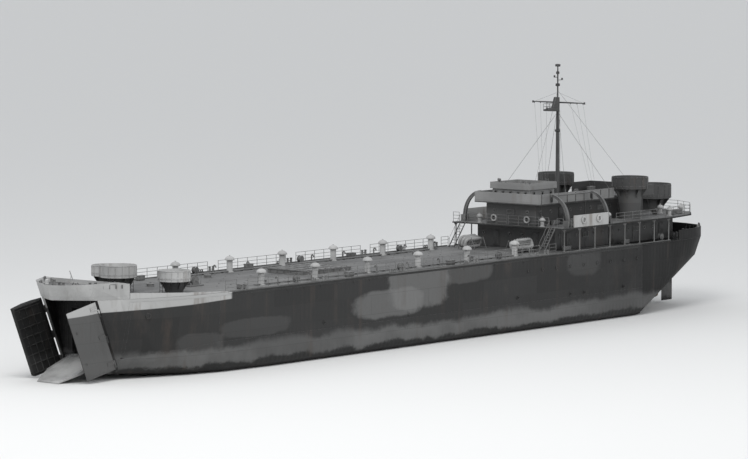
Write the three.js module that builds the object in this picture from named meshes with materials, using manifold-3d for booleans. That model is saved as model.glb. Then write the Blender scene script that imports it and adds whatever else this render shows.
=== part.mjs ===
// Beached tank landing ship, a 1:10 scale model, in millimetres: +X to the bow, +Y to port, +Z up.
// z = 0 is the flat bottom that the ship stands on. Bow doors open and bow ramp down.
import * as THREE from "three";
import { ConvexGeometry } from "three/addons/geometries/ConvexGeometry.js";
import { mergeVertices } from "three/addons/utils/BufferGeometryUtils.js";
import Module from "manifold-3d";

const wasm = await Module();
wasm.setup();

// Driving dimensions
const GAP = 0.3;
const HALF_LENGTH = 5000;
const CENTRE_X = 45.54;
const HALF_BEAM = 762;
const DECK_Z = 767;
const PLATE = 30;
const THIN = 10;
const RAKE = 0.4245;
const RAKE_ANGLE = Math.atan(RAKE);

// The tank deck, a hall from the bow portal to the aft bulkhead
const HALL = { aft: -3400, narrows: 3400, half: 450, floor: 300, head: DECK_Z - PLATE };
const PORTAL = { x: 4390, half: 235, floor: 200, head: 640, thick: PLATE };

// The bow doors hinge on raked lines, where the fixed sides end
const DOOR = { hingeFoot: 4370, hingeHalf: 350, nose: 220, bottom: 105, top: 755, thick: 26 };
const DOOR_OPEN = THREE.MathUtils.degToRad(61.9);
const KNUCKLE = 12;
const RAMP = { x: 4430, z: 200, half: 213, length: 575, root: 27, tip: 6, top: 8 };
const RAMP_CORNER = { along: 220, across: 82 };
const RAMP_DROP = THREE.MathUtils.degToRad(19.6);
const FOREFOOT_TOP = 80;
const CAP = { aft: 4391, half: 505, deck: 872, rim: 912, wall: 14, rimWall: 10 };

// Hatch in the main deck
const HATCH = { aft: 900, fore: 1560, half: 240, coaming: 800, lid: 12 };

// Stern gear
const SHAFT = { y: 240, z: 125 };
const PROPELLER = { x: -4270, radius: 104, hub: 19 };
const RUDDER = { x: -4530, fore: 45, aft: 150, bottom: 40, top: 300, half: 9, stock: 13 };

// Decks of the superstructure
const BOAT_DECK = { z: 1010, thick: 12, fore: -2000, half: 745 };
const BRIDGE_DECK = { z: 1250, thick: 10, fore: -1985, aft: -4060, half: 430 };
const BOAT_TOP = BOAT_DECK.z + BOAT_DECK.thick;
const BRIDGE_TOP = BRIDGE_DECK.z + BRIDGE_DECK.thick;
const BRIDGE_WALL = { thick: 10, top: 1365 };
const DAVIT = { y: 690, z: BOAT_TOP + 52, fore: -2150, aft: -2850, foot: 19, reach: 250, rise: 290 };
const MAST = { x: -2880, head: 2230, truck: 2700 };

// Hull stations, aft to fore. Columns: x at deck level, x at the keel, keel height,
// half breadth above the bilge, bilge radius, half breadth at the deck.
const STATIONS = [
  [-3400, -3400, 0, 758, 90, HALF_BEAM],
  [2600, 2600, 0, 758, 90, HALF_BEAM],
  [3300, 3300, 0, 720, 110, HALF_BEAM],
  [3800, 3720, 8, 635, 140, 725],
  [4180, 4000, 22, 530, 140, 610],
  [4480, 4220, 40, 430, 110, 470],
  [DOOR.hingeFoot + RAKE * DECK_Z, DOOR.hingeFoot, 50, 345, 70, DOOR.hingeHalf],
];
const BILGE_STEPS = 3;

// The stern's outline in plan. Columns: x, half breadth.
const STERN_PLAN = [
  [-3600, 762],
  [-4100, 748],
  [-4480, 695],
  [-4740, 590],
  [-4890, 440],
  [-4965, 240],
  [-4990, 90],
];
// How the outline shrinks below the deck. Columns: height, share of length, share of breadth.
const STERN_LEVELS = [
  [DECK_Z, 1, 1],
  [560, 0.93, 0.97],
  [390, 0.8, 0.8],
];

// Geometry helpers
const V = (x, y, z) => new THREE.Vector3(x, y, z);

function solidOf(geometry) {
  const bare = geometry.clone();
  bare.deleteAttribute("normal");
  bare.deleteAttribute("uv");
  const merged = mergeVertices(bare, 1e-3);
  return new wasm.Manifold(
    new wasm.Mesh({
      numProp: 3,
      vertProperties: new Float32Array(merged.attributes.position.array),
      triVerts: new Uint32Array(merged.index.array),
    }),
  );
}

function geometryOf(solid) {
  const mesh = solid.getMesh();
  const geometry = new THREE.BufferGeometry();
  geometry.setAttribute("position", new THREE.BufferAttribute(mesh.vertProperties, 3));
  geometry.setIndex(new THREE.BufferAttribute(mesh.triVerts, 1));
  geometry.computeVertexNormals();
  return geometry;
}

const hull = (points) => solidOf(new ConvexGeometry(points));

function box(x0, x1, y0, y1, z0, z1) {
  const geometry = new THREE.BoxGeometry(x1 - x0, y1 - y0, z1 - z0);
  return solidOf(geometry.translate((x0 + x1) / 2, (y0 + y1) / 2, (z0 + z1) / 2));
}

function extrude(points, depth) {
  const shape = new THREE.Shape(points.map(([a, b]) => new THREE.Vector2(a, b)));
  return new THREE.ExtrudeGeometry(shape, { depth, bevelEnabled: false });
}

// A plan outline raised from z0 to z1
const prism = (points, z0, z1) => solidOf(extrude(points, z1 - z0).translate(0, 0, z0));

// A side profile, x and z, drawn out from y0 to y1
function slab(points, y0, y1) {
  const turned = new THREE.Matrix4().makeBasis(V(1, 0, 0), V(0, 0, 1), V(0, -1, 0));
  return solidOf(extrude(points, y1 - y0).applyMatrix4(turned).translate(0, y1, 0));
}

// A cross section, y and z, drawn out from x0 to x1
function beam(points, x0, x1) {
  const turned = new THREE.Matrix4().makeBasis(V(0, 1, 0), V(0, 0, 1), V(1, 0, 0));
  return solidOf(extrude(points, x1 - x0).applyMatrix4(turned).translate(x0, 0, 0));
}

function rod(from, to, radius, sides = 12, endRadius = radius) {
  const a = V(...from);
  const b = V(...to);
  const geometry = new THREE.CylinderGeometry(endRadius, radius, a.distanceTo(b), sides);
  const turn = new THREE.Quaternion().setFromUnitVectors(V(0, 1, 0), b.clone().sub(a).normalize());
  geometry.applyQuaternion(turn);
  const middle = a.add(b).multiplyScalar(0.5);
  return solidOf(geometry.translate(middle.x, middle.y, middle.z));
}

function lathe(profile, x, y, sides = 24) {
  const points = profile.map(([r, z]) => new THREE.Vector2(r, z));
  const geometry = new THREE.LatheGeometry(points, sides).rotateX(Math.PI / 2);
  return solidOf(geometry.translate(x, y, 0));
}

const join = (solids) => solids.reduce((sum, solid) => sum.add(solid));
const cut = (solid, tools) => tools.reduce((rest, tool) => rest.subtract(tool), solid);
const both = (points) => [...points, ...points.map(([x, y]) => [x, -y]).reverse()];
const range = (count) => Array.from({ length: count }, (_, i) => i);

// Materials
const paint = (color, roughness = 0.8) => new THREE.MeshStandardMaterial({ color, roughness });
const hullPaint = () => paint(0x3b3f42);
const palePaint = () => paint(0x9a9c98);
const deckPaint = () => paint(0x4a4b48, 0.9);
const steel = () => paint(0x5d5f60, 0.6);
const bronze = () => new THREE.MeshStandardMaterial({ color: 0x8f7a4a, roughness: 0.5, metalness: 0.8 });

const ship = new THREE.Group();
ship.position.x = -CENTRE_X;

function add(name, solid, material, parent = ship) {
  const mesh = new THREE.Mesh(geometryOf(solid), material);
  mesh.name = name;
  parent.add(mesh);
  return mesh;
}

const SIDES = [
  { name: "port", sign: 1 },
  { name: "starboard", sign: -1 },
];

// One hull section as a ring of points from the port deck edge round the keel to the
// starboard deck edge, given one row of STATIONS, drawn in by an amount
function sectionRing([deckX, keelX, keelZ, half, bilge, deckHalf], inset = 0) {
  const corners = range(BILGE_STEPS + 1).map((i) => {
    const angle = (i / BILGE_STEPS) * (Math.PI / 2);
    return [half - bilge + bilge * Math.sin(angle), keelZ + bilge - bilge * Math.cos(angle)];
  });
  corners.push([deckHalf, DECK_Z]);
  const port = corners.reverse().map(([y, z]) => {
    const x = keelX + (deckX - keelX) * (z / DECK_Z);
    return V(x, y - inset, z);
  });
  const starboard = port.map((point) => V(point.x, -point.y, point.z)).reverse();
  return [...port, ...starboard];
}

// A closed skin over rings that all have the same number of points, aft to fore
function loft(rings) {
  const count = rings[0].length;
  const faces = [];
  rings.slice(1).forEach((_, i) => {
    for (const j of range(count)) {
      const next = (j + 1) % count;
      const [a, b] = [i * count, (i + 1) * count];
      faces.push(a + j, b + j, a + next, a + next, b + j, b + next);
    }
  });
  const last = (rings.length - 1) * count;
  for (const j of range(count - 2)) {
    faces.push(0, j + 1, j + 2, last, last + j + 2, last + j + 1);
  }
  const geometry = new THREE.BufferGeometry().setFromPoints(rings.flat());
  geometry.setIndex(faces);
  return solidOf(geometry);
}

const hullForm = (stations, inset) => loft(stations.map((station) => sectionRing(station, inset)));

const form = hullForm(STATIONS);

// Leans what stands upright to the rake of the bow
const RAKED = new THREE.Matrix4().set(1, 0, RAKE, 0, 0, 1, 0, 0, 0, 0, 1, 0, 0, 0, 0, 1);

// Everything above the tank deck's floor line, which slopes down to the portal
const FAR = 6000;
const aboveFloor = slab(
  [
    [-FAR, HALL.floor],
    [HALL.narrows, HALL.floor],
    [PORTAL.x, PORTAL.floor],
    [PORTAL.x, FOREFOOT_TOP],
    [FAR, FOREFOOT_TOP],
    [FAR, FAR],
    [-FAR, FAR],
  ],
  -FAR,
  FAR,
);

// The hall's plan: straight sides, then narrowing to the portal
const hallPlan = (inset) =>
  both([
    [HALL.aft - 100, HALL.half - inset],
    [HALL.narrows, HALL.half - inset],
    [PORTAL.x - PORTAL.thick, PORTAL.half - inset],
  ]);

function buildHull() {
  const sternCut = box(-FAR, HALL.aft + GAP, -FAR, FAR, -FAR, FAR);
  const bottom = cut(form, [aboveFloor, sternCut]);
  const bowCut = (x) => box(x, FAR, -FAR, FAR, -FAR, FAR);
  const aftCut = (x) => box(-FAR, x, -FAR, FAR, -FAR, FAR);
  const forefoot = prism(
    both([
      [DOOR.hingeFoot, DOOR.hingeHalf - 20],
      [DOOR.hingeFoot + DOOR.nose, 30],
    ]),
    52,
    FOREFOOT_TOP,
  );
  add("hull_bottom", join([bottom, forefoot]), hullPaint());

  const shellAbove = form.intersect(aboveFloor.translate(0, 0, GAP));
  const underDeck = cut(shellAbove, [
    box(-FAR, FAR, -FAR, FAR, HALL.head, FAR),
    prism(hallPlan(0), 0, FAR),
    sternCut,
  ]);
  for (const { name, sign } of SIDES) {
    const half = underDeck.intersect(
      box(-FAR, FAR, Math.min(0, sign * FAR), Math.max(0, sign * FAR), 0, FAR),
    );
    add(`hull_side_${name}`, cut(half, [bowCut(HALL.narrows)]), hullPaint());
    const shoulder = cut(half, [aftCut(HALL.narrows + GAP), bowCut(PORTAL.x - PORTAL.thick - GAP)]);
    add(`hull_shoulder_${name}`, shoulder, hullPaint());
  }

  const deck = cut(form.intersect(box(-FAR, FAR, -FAR, FAR, HALL.head + GAP, FAR)), [sternCut]);
  const hatchHole = box(HATCH.aft, HATCH.fore, -HATCH.half, HATCH.half, 0, FAR);
  add("main_deck_aft", cut(deck, [bowCut(HATCH.aft - 200)]), deckPaint());
  const hatchBay = cut(deck, [aftCut(HATCH.aft - 200 + GAP), bowCut(HATCH.fore + 200), hatchHole]);
  add("main_deck_hatch_bay", hatchBay, deckPaint());
  const foreDeck = cut(deck, [aftCut(HATCH.fore + 200 + GAP), bowCut(PORTAL.x)]);
  add("main_deck_fore", foreDeck, deckPaint());
  return shellAbove;
}

function buildStern() {
  const points = sectionRing(STATIONS[0]);
  for (const [z, along, across] of STERN_LEVELS) {
    for (const [x, half] of STERN_PLAN) {
      const shrunk = HALL.aft + (x - HALL.aft) * along;
      points.push(V(shrunk, half * across, z), V(shrunk, -half * across, z));
    }
  }
  const wells = SIDES.map(({ sign }) =>
    rod([RUDDER.x, sign * SHAFT.y, 0], [RUDDER.x, sign * SHAFT.y, 390], RUDDER.stock + 5, 16),
  );
  const body = hull(points);
  add("hull_stern", cut(body, wells), hullPaint());

  // Skegs carry the propeller shafts
  const lowered = body.translate(0, 0, -GAP);
  for (const { name, sign } of SIDES) {
    const y = sign * SHAFT.y;
    const fin = slab(
      [
        [HALL.aft - 60, 4],
        [-4100, 12],
        [-4160, 60],
        [-4160, 400],
        [HALL.aft - 60, 400],
      ],
      y - 24,
      y + 24,
    );
    const boss = rod([-3900, y, SHAFT.z], [-4190, y, SHAFT.z], 36, 16, 30);
    add(`skeg_${name}`, cut(join([fin, boss]), [lowered]), hullPaint());
  }
  return body;
}

function buildBow(shellAbove) {
  // Side plating between the portal and the door hinges
  const inner = hullForm(STATIONS.slice(3), PLATE);
  const hingeShift = KNUCKLE + 8;
  const front = box(DOOR.hingeFoot - hingeShift, FAR, -FAR, FAR, -FAR, FAR);
  const rakedFront = solidOf(geometryOf(front).applyMatrix4(RAKED));
  const aft = box(-FAR, PORTAL.x + GAP, -FAR, FAR, -FAR, FAR);
  const cheeks = cut(shellAbove, [inner, rakedFront, aft]);
  for (const { name, sign } of SIDES) {
    const half = box(-FAR, FAR, Math.min(0, sign * FAR), Math.max(0, sign * FAR), 0, FAR);
    add(`bow_cheek_${name}`, cheeks.intersect(half), hullPaint());
  }

  // Portal bulkhead with the sill and the lugs that carry the ramp
  const bulkhead = form.intersect(
    box(PORTAL.x - PORTAL.thick, PORTAL.x, -FAR, FAR, PORTAL.floor + 8, HALL.head),
  );
  const opening = box(0, FAR, -PORTAL.half, PORTAL.half, 0, PORTAL.head);
  const sillHalf = RAMP.half + 20;
  const sill = box(PORTAL.x + GAP, RAMP.x - 20, -sillHalf, sillHalf, FOREFOOT_TOP + GAP, RAMP.z + 6);
  const keyHalf = PORTAL.half + 30;
  const sillKey = box(PORTAL.x - 20, RAMP.x - 20, -keyHalf, keyHalf, PORTAL.floor + 4, PORTAL.floor + 12);
  const lugs = SIDES.map(({ sign }) => {
    const y = sign * (RAMP.half + 12);
    return slab(
      [
        [PORTAL.x + GAP, FOREFOOT_TOP + GAP],
        [RAMP.x + 16, RAMP.z - 26],
        [RAMP.x + 16, RAMP.z + 12],
        [PORTAL.x + GAP, RAMP.z + 24],
      ],
      y - 7,
      y + 7,
    );
  });
  add("bow_portal", join([cut(bulkhead, [opening]), sill, sillKey, ...lugs]), hullPaint());

  // Raised bow cap over the doors, open below
  const capOutline = (z, inset) => {
    const shift = RAKE * (z - DECK_Z);
    const hingeX = DOOR.hingeFoot + RAKE * DECK_Z;
    return [
      [CAP.aft + inset, CAP.half - inset],
      [4480 + shift * 0.4, 470 - inset],
      [hingeX + shift, DOOR.hingeHalf - inset],
      [hingeX + DOOR.nose * 0.62 + shift, DOOR.hingeHalf * 0.46 - inset],
      [hingeX + DOOR.nose + shift - inset, 12],
    ].flatMap(([x, y]) => [V(x, y, z), V(x, -y, z)]);
  };
  const cap = hull([...capOutline(DECK_Z + GAP, 0), ...capOutline(CAP.rim, 0)]);
  const below = hull([...capOutline(DECK_Z - 10, CAP.wall), ...capOutline(CAP.deck - CAP.wall, CAP.wall)]);
  const above = hull([...capOutline(CAP.deck, CAP.rimWall), ...capOutline(CAP.rim + 10, CAP.rimWall)]);
  add("bow_cap", cut(cap, [below, above]), palePaint());

  // Bulwarks rise along the deck edge to the cap
  const bulwarkPlan = [
    [3300, 756],
    [3800, 719],
    [4180, 604],
    [4390, 508],
  ];
  for (const { name, sign } of SIDES) {
    const strips = bulwarkPlan.slice(1).map(([x1, y1], i) => {
      const [x0, y0] = bulwarkPlan[i];
      const top = (x) => DECK_Z + 8 + (50 * (x - 3300)) / 1090;
      const corner = (x, y, z) => [V(x, sign * y, z), V(x, sign * (y - THIN), z)];
      return hull([
        ...corner(x0, y0, DECK_Z + GAP),
        ...corner(x1, y1, DECK_Z + GAP),
        ...corner(x0, y0, top(x0)),
        ...corner(x1, y1, top(x1)),
      ]);
    });
    add(`bow_bulwark_${name}`, join(strips), palePaint());
  }
}

// One bow door, drawn closed, then put in the frame of its raked hinge
function buildDoors() {
  for (const { name, sign } of SIDES) {
    const { hingeHalf, nose, thick } = DOOR;
    const length = Math.hypot(nose, hingeHalf);
    const along = [nose / length, -hingeHalf / length];
    const inward = [along[1], -along[0]];
    const at = (s, t) => [s * along[0] + t * inward[0], hingeHalf + s * along[1] + t * inward[1]];
    const outline = [
      at(4, 2),
      at(length * 0.3, -14),
      at(length * 0.62, -16),
      at(length - 5, 3),
      at(length - 5 - thick * 0.6, thick),
      at(length * 0.5, thick - 12),
      at(60, thick),
      at(24, 16),
    ].map(([x, y]) => [x, sign * y]);
    const plate = extrude(outline, DOOR.top - DOOR.bottom);
    plate.translate(DOOR.hingeFoot, 0, DOOR.bottom);
    const leaf = solidOf(plate.applyMatrix4(RAKED));

    const frame = new THREE.Group();
    frame.position.set(DOOR.hingeFoot, sign * hingeHalf, 0);
    frame.rotation.y = RAKE_ANGLE;
    frame.updateMatrix();
    const inFrame = geometryOf(leaf).applyMatrix4(frame.matrix.clone().invert());
    const knuckles = [170, 430, 700].map((z) => rod([0, 0, z - 35], [0, 0, z + 35], KNUCKLE));
    const leafInFrame = join([solidOf(inFrame), ...knuckles]);

    const turned = new THREE.Group();
    turned.rotation.z = sign * DOOR_OPEN;
    frame.add(turned);
    ship.add(frame);
    add(`bow_door_${name}`, leafInFrame, hullPaint(), turned);
  }
}

function buildRamp() {
  const { half, length, root, tip, top } = RAMP;
  const side = slab(
    [
      [0, -root],
      [60, -root],
      [length, -tip],
      [length, tip * 0.3],
      [length - 80, top],
      [0, top],
    ],
    -half,
    half,
  );
  const corners = SIDES.map(({ sign }) =>
    prism(
      [
        [length - RAMP_CORNER.along, sign * (half + 1)],
        [length + 10, sign * (half - RAMP_CORNER.across)],
        [length + 10, sign * (half + 1)],
      ],
      -100,
      100,
    ),
  );
  const pin = rod([0, -half - 4, 0], [0, half + 4, 0], 9);
  const hinge = new THREE.Group();
  hinge.position.set(RAMP.x, 0, RAMP.z);
  hinge.rotation.y = RAMP_DROP;
  ship.add(hinge);
  add("bow_ramp", join([cut(side, corners), pin]), steel(), hinge);
}

function buildPropulsion() {
  const blade = new THREE.Shape();
  blade.absellipse(57, 0, PROPELLER.radius - 57, 34, 0, Math.PI * 2);
  for (const { name, sign } of SIDES) {
    const blades = range(3).map((i) => {
      const shape = { depth: 6, bevelEnabled: false, curveSegments: 6 };
      const geometry = new THREE.ExtrudeGeometry(blade, shape);
      geometry.translate(0, 0, -3);
      geometry.rotateX(sign * THREE.MathUtils.degToRad(-55));
      geometry.rotateZ((i * Math.PI * 2) / 3 + Math.PI / 2);
      return solidOf(geometry);
    });
    const hub = rod([0, 0, -34], [0, 0, 36], PROPELLER.hub, 12, 12);
    const shaft = rod([0, 0, -78], [0, 0, -30], 11);
    const wheel = new THREE.Group();
    wheel.position.set(PROPELLER.x, sign * SHAFT.y, SHAFT.z);
    wheel.rotation.y = -Math.PI / 2;
    ship.add(wheel);
    add(`propeller_${name}`, join([hub, shaft, ...blades]), bronze(), wheel);

    const plate = hull(
      [RUDDER.bottom, RUDDER.top].flatMap((z) => [
        V(RUDDER.fore, 3, z),
        V(RUDDER.fore, -3, z),
        V(10, RUDDER.half, z),
        V(10, -RUDDER.half, z),
        V(-RUDDER.aft, 3, z),
        V(-RUDDER.aft, -3, z),
      ]),
    );
    const stock = rod([0, 0, RUDDER.top - 20], [0, 0, RUDDER.top + 66], RUDDER.stock);
    const rudder = add(`rudder_${name}`, join([plate, stock]), hullPaint());
    rudder.position.set(RUDDER.x, sign * SHAFT.y, 0);
  }
}

function buildHatch() {
  const wide = HATCH.half + 14;
  const outer = box(HATCH.aft - 14, HATCH.fore + 14, -wide, wide, DECK_Z + GAP, HATCH.coaming);
  const inner = box(HATCH.aft, HATCH.fore, -HATCH.half, HATCH.half, 0, FAR);
  add("hatch_coaming", cut(outer, [inner]), steel());
  const lid = new THREE.Group();
  lid.position.set(HATCH.aft - 20, 0, HATCH.coaming + HATCH.lid / 2 + 1);
  ship.add(lid);
  const long = HATCH.fore - HATCH.aft + 40;
  const panel = box(8, long, -HATCH.half - 18, HATCH.half + 18, -HATCH.lid / 2, HATCH.lid / 2);
  const ribs = range(5).map((i) => {
    const x = 60 + (i * (long - 120)) / 4;
    return box(x - 5, x + 5, -HATCH.half, HATCH.half, HATCH.lid / 2 - 1, HATCH.lid / 2 + 6);
  });
  const pins = SIDES.map(({ sign }) => rod([0, sign * 160 - 30, 0], [0, sign * 160 + 30, 0], 6));
  const straps = SIDES.map(({ sign }) => box(0, 30, sign * 160 - 20, sign * 160 + 20, -5, 5));
  add("hatch_lid", join([panel, ...ribs, ...pins, ...straps]), steel(), lid);
}

// An open splinter shield on a low base: ring wall with a floor
function shieldTub(radius, floor, top, x, y, foot) {
  const wall = lathe(
    [
      [0, floor],
      [radius, floor],
      [radius, top],
      [radius - THIN, top],
      [radius - THIN, floor + THIN],
      [0, floor + THIN],
    ],
    x,
    y,
  );
  const stand = rod([x, y, foot], [x, y, floor + 2], radius * 0.55, 16, radius * 0.72);
  return join([wall, stand]);
}

// Columns: name, x, y, radius, foot height, floor height, top height
const SIDE_TUB_X = -3520;
const TUBS = [
  ["tub_bow_centre", 4010, 0, 175, DECK_Z + GAP, 915, 1032],
  ["tub_bow_port", 3700, 430, 155, DECK_Z + GAP, 880, 985],
  ["tub_bow_starboard", 3700, -430, 155, DECK_Z + GAP, 880, 985],
  ["tub_side_port", SIDE_TUB_X, 500, 195, BOAT_TOP + GAP, 1350, 1480],
  ["tub_side_starboard", SIDE_TUB_X, -500, 195, BOAT_TOP + GAP, 1350, 1480],
  ["tub_stern", -4620, 0, 215, BOAT_TOP + GAP, 1160, 1320],
];

function buildTubs() {
  for (const [name, x, y, radius, foot, floor, top] of TUBS)
    add(name, shieldTub(radius, floor, top, x, y, foot), palePaint());
}

function buildSuperstructure() {
  const house = box(-4300, -2150, -520, 520, DECK_Z + GAP, BOAT_DECK.z - GAP);
  add("deckhouse", house, hullPaint());
  const boatPlan = both([
    [BOAT_DECK.fore, BOAT_DECK.half],
    [-4000, BOAT_DECK.half],
    [-4450, 660],
    [-4700, 480],
    [-4860, 200],
  ]);
  const guards = SIDES.map(({ sign }) =>
    box(-2800, -2190, sign * 738 - 5, sign * 738 + 5, BOAT_TOP - 1, 1150),
  );
  add("boat_deck", join([prism(boatPlan, BOAT_DECK.z, BOAT_TOP), ...guards]), deckPaint());
  add("bridge_house", box(-4000, -2060, -330, 330, BOAT_TOP + GAP, BRIDGE_DECK.z - GAP), hullPaint());
  const { fore, aft, half } = BRIDGE_DECK;
  const tubRoom = TUBS.filter(([name]) => name.startsWith("tub_side")).map(([, x, y, radius]) =>
    rod([x, y, BOAT_TOP], [x, y, 1600], radius + 10, 24),
  );
  const bridgeDeck = box(aft, fore, -half, half, BRIDGE_DECK.z, BRIDGE_TOP);
  add("bridge_deck", cut(bridgeDeck, tubRoom), deckPaint());

  // Low walls around the bridge, open at the aft end where the ladder comes up
  const { thick, top } = BRIDGE_WALL;
  const walls = box(aft, fore, -half, half, BRIDGE_TOP + GAP, top);
  const inside = box(aft + thick, fore - thick, thick - half, half - thick, 0, FAR);
  const ladderWay = box(aft - 1, aft + 100, -90, 90, 0, FAR);
  const bridgeRing = cut(walls, [inside, ladderWay, ...tubRoom]);
  add("bridge_wall_front", bridgeRing.intersect(box(SIDE_TUB_X, FAR, -FAR, FAR, 0, FAR)), palePaint());
  for (const { name, sign } of SIDES) {
    const quarter = box(-FAR, SIDE_TUB_X, Math.min(0, sign * FAR), Math.max(0, sign * FAR), 0, FAR);
    add(`bridge_wall_${name}`, bridgeRing.intersect(quarter), hullPaint());
  }
  add("wheelhouse", box(-2500, -2060, -250, 250, BRIDGE_TOP + GAP, 1400), palePaint());
  const shieldOuter = box(-2520, -2040, -265, 265, 1400 + GAP, 1470);
  const shieldInner = box(-2510, -2050, -255, 255, 1410, 1500);
  add("conning_shield", cut(shieldOuter, [shieldInner]), palePaint());

  for (const { name, sign } of SIDES) {
    const posts = range(8).map((i) => {
      const x = -2040 - i * 270;
      return rod([x, sign * 725, DECK_Z + 8], [x, sign * 725, BOAT_DECK.z - GAP], 7, 8);
    });
    const y = sign * 725;
    const strip = box(-3960, -2020, y - 10, y + 10, DECK_Z + GAP, DECK_Z + 12);
    add(`boat_deck_stanchions_${name}`, join([strip, ...posts]), steel());
  }

  // Stern bulwark around the fantail
  const outer = both(STERN_PLAN.slice(1).map(([x, half]) => [x, half - 2]));
  const inner = both(STERN_PLAN.slice(1).map(([x, half]) => [x + 16, half - 16]));
  const ring = prism(outer, DECK_Z + GAP, 870);
  const hole = prism(inner, 700, 900);
  const open = box(-4110, FAR, -700, 700, 0, FAR);
  add("stern_bulwark", cut(ring, [hole, open]), hullPaint());
}

function buildDavits() {
  for (const { name, sign } of SIDES) {
    // Fixed stands on the boat deck hold the pivots
    const across = (middle, half) => [sign * middle - half, sign * middle + half];
    const stands = [DAVIT.fore, DAVIT.aft].flatMap((x) =>
      [-26, 26].map((shift) => {
        const middle = x + shift;
        return box(middle - 8, middle + 8, ...across(DAVIT.y, 30), BOAT_TOP + GAP, DAVIT.z + 22);
      }),
    );
    const [first, last] = [DAVIT.aft - 34, DAVIT.fore + 34];
    const sleeper = box(first, last, ...across(DAVIT.y - 22, 8), BOAT_TOP + GAP, BOAT_TOP + 8);
    add(`davit_stands_${name}`, join([sleeper, ...stands]), steel());

    // Crescent arms swing outboard together
    const { foot, reach, rise } = DAVIT;
    const centre = foot - reach;
    const [heel, tip] = [-0.1, Math.PI * 0.47];
    const outer = new THREE.EllipseCurve(centre, 0, reach, rise, heel, tip);
    const inner = new THREE.EllipseCurve(centre, 0, reach - 2 * foot, rise - 28, tip, heel, true);
    const outline = [...outer.getPoints(10), ...inner.getPoints(10)].map((p) => [sign * p.x, p.y]);
    const arms = [DAVIT.fore, DAVIT.aft].map((x) => beam(outline, x - 12, x + 12));
    const [tipY, tipZ] = [sign * (centre + 18), rise - 16];
    const spreader = rod([DAVIT.aft, tipY, tipZ], [DAVIT.fore, tipY, tipZ], 8, 8);
    const pivots = [DAVIT.fore, DAVIT.aft].map((x) => rod([x - 17, 0, 0], [x + 17, 0, 0], 14));
    const pair = add(`davit_arms_${name}`, join([...arms, spreader, ...pivots]), steel());
    pair.position.set(0, sign * DAVIT.y, DAVIT.z);
  }
}

function buildMast() {
  const { x, head, truck } = MAST;
  const pole = rod([x, 0, BRIDGE_TOP + GAP], [x, 0, head], 22, 12, 15);
  const topmast = rod([x, 0, head - 10], [x, 0, truck], 9, 8, 6);
  // Columns: height, radius, half thickness
  const drums = [
    [1988, 30, 12],
    [2480, 26, 14],
    [2610, 20, 14],
    [truck - 10, 30, 14],
  ].map(([z, radius, half]) => rod([x, 0, z - half], [x, 0, z + half], radius, 10));
  add("mast", join([pole, topmast, ...drums]), steel());
  const bracket = slab(
    [
      [x + 16, head - 35],
      [x + 205, head - 25],
      [x + 205, head - 8],
      [x + 60, head + 10],
      [x + 16, head + 120],
    ],
    -40,
    40,
  );
  add("mast_platform", bracket, steel());
  const yardX = x - 17;
  add("yard", rod([yardX, -350, head + 60], [yardX, 350, head + 60], 7, 8), steel());
}

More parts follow.
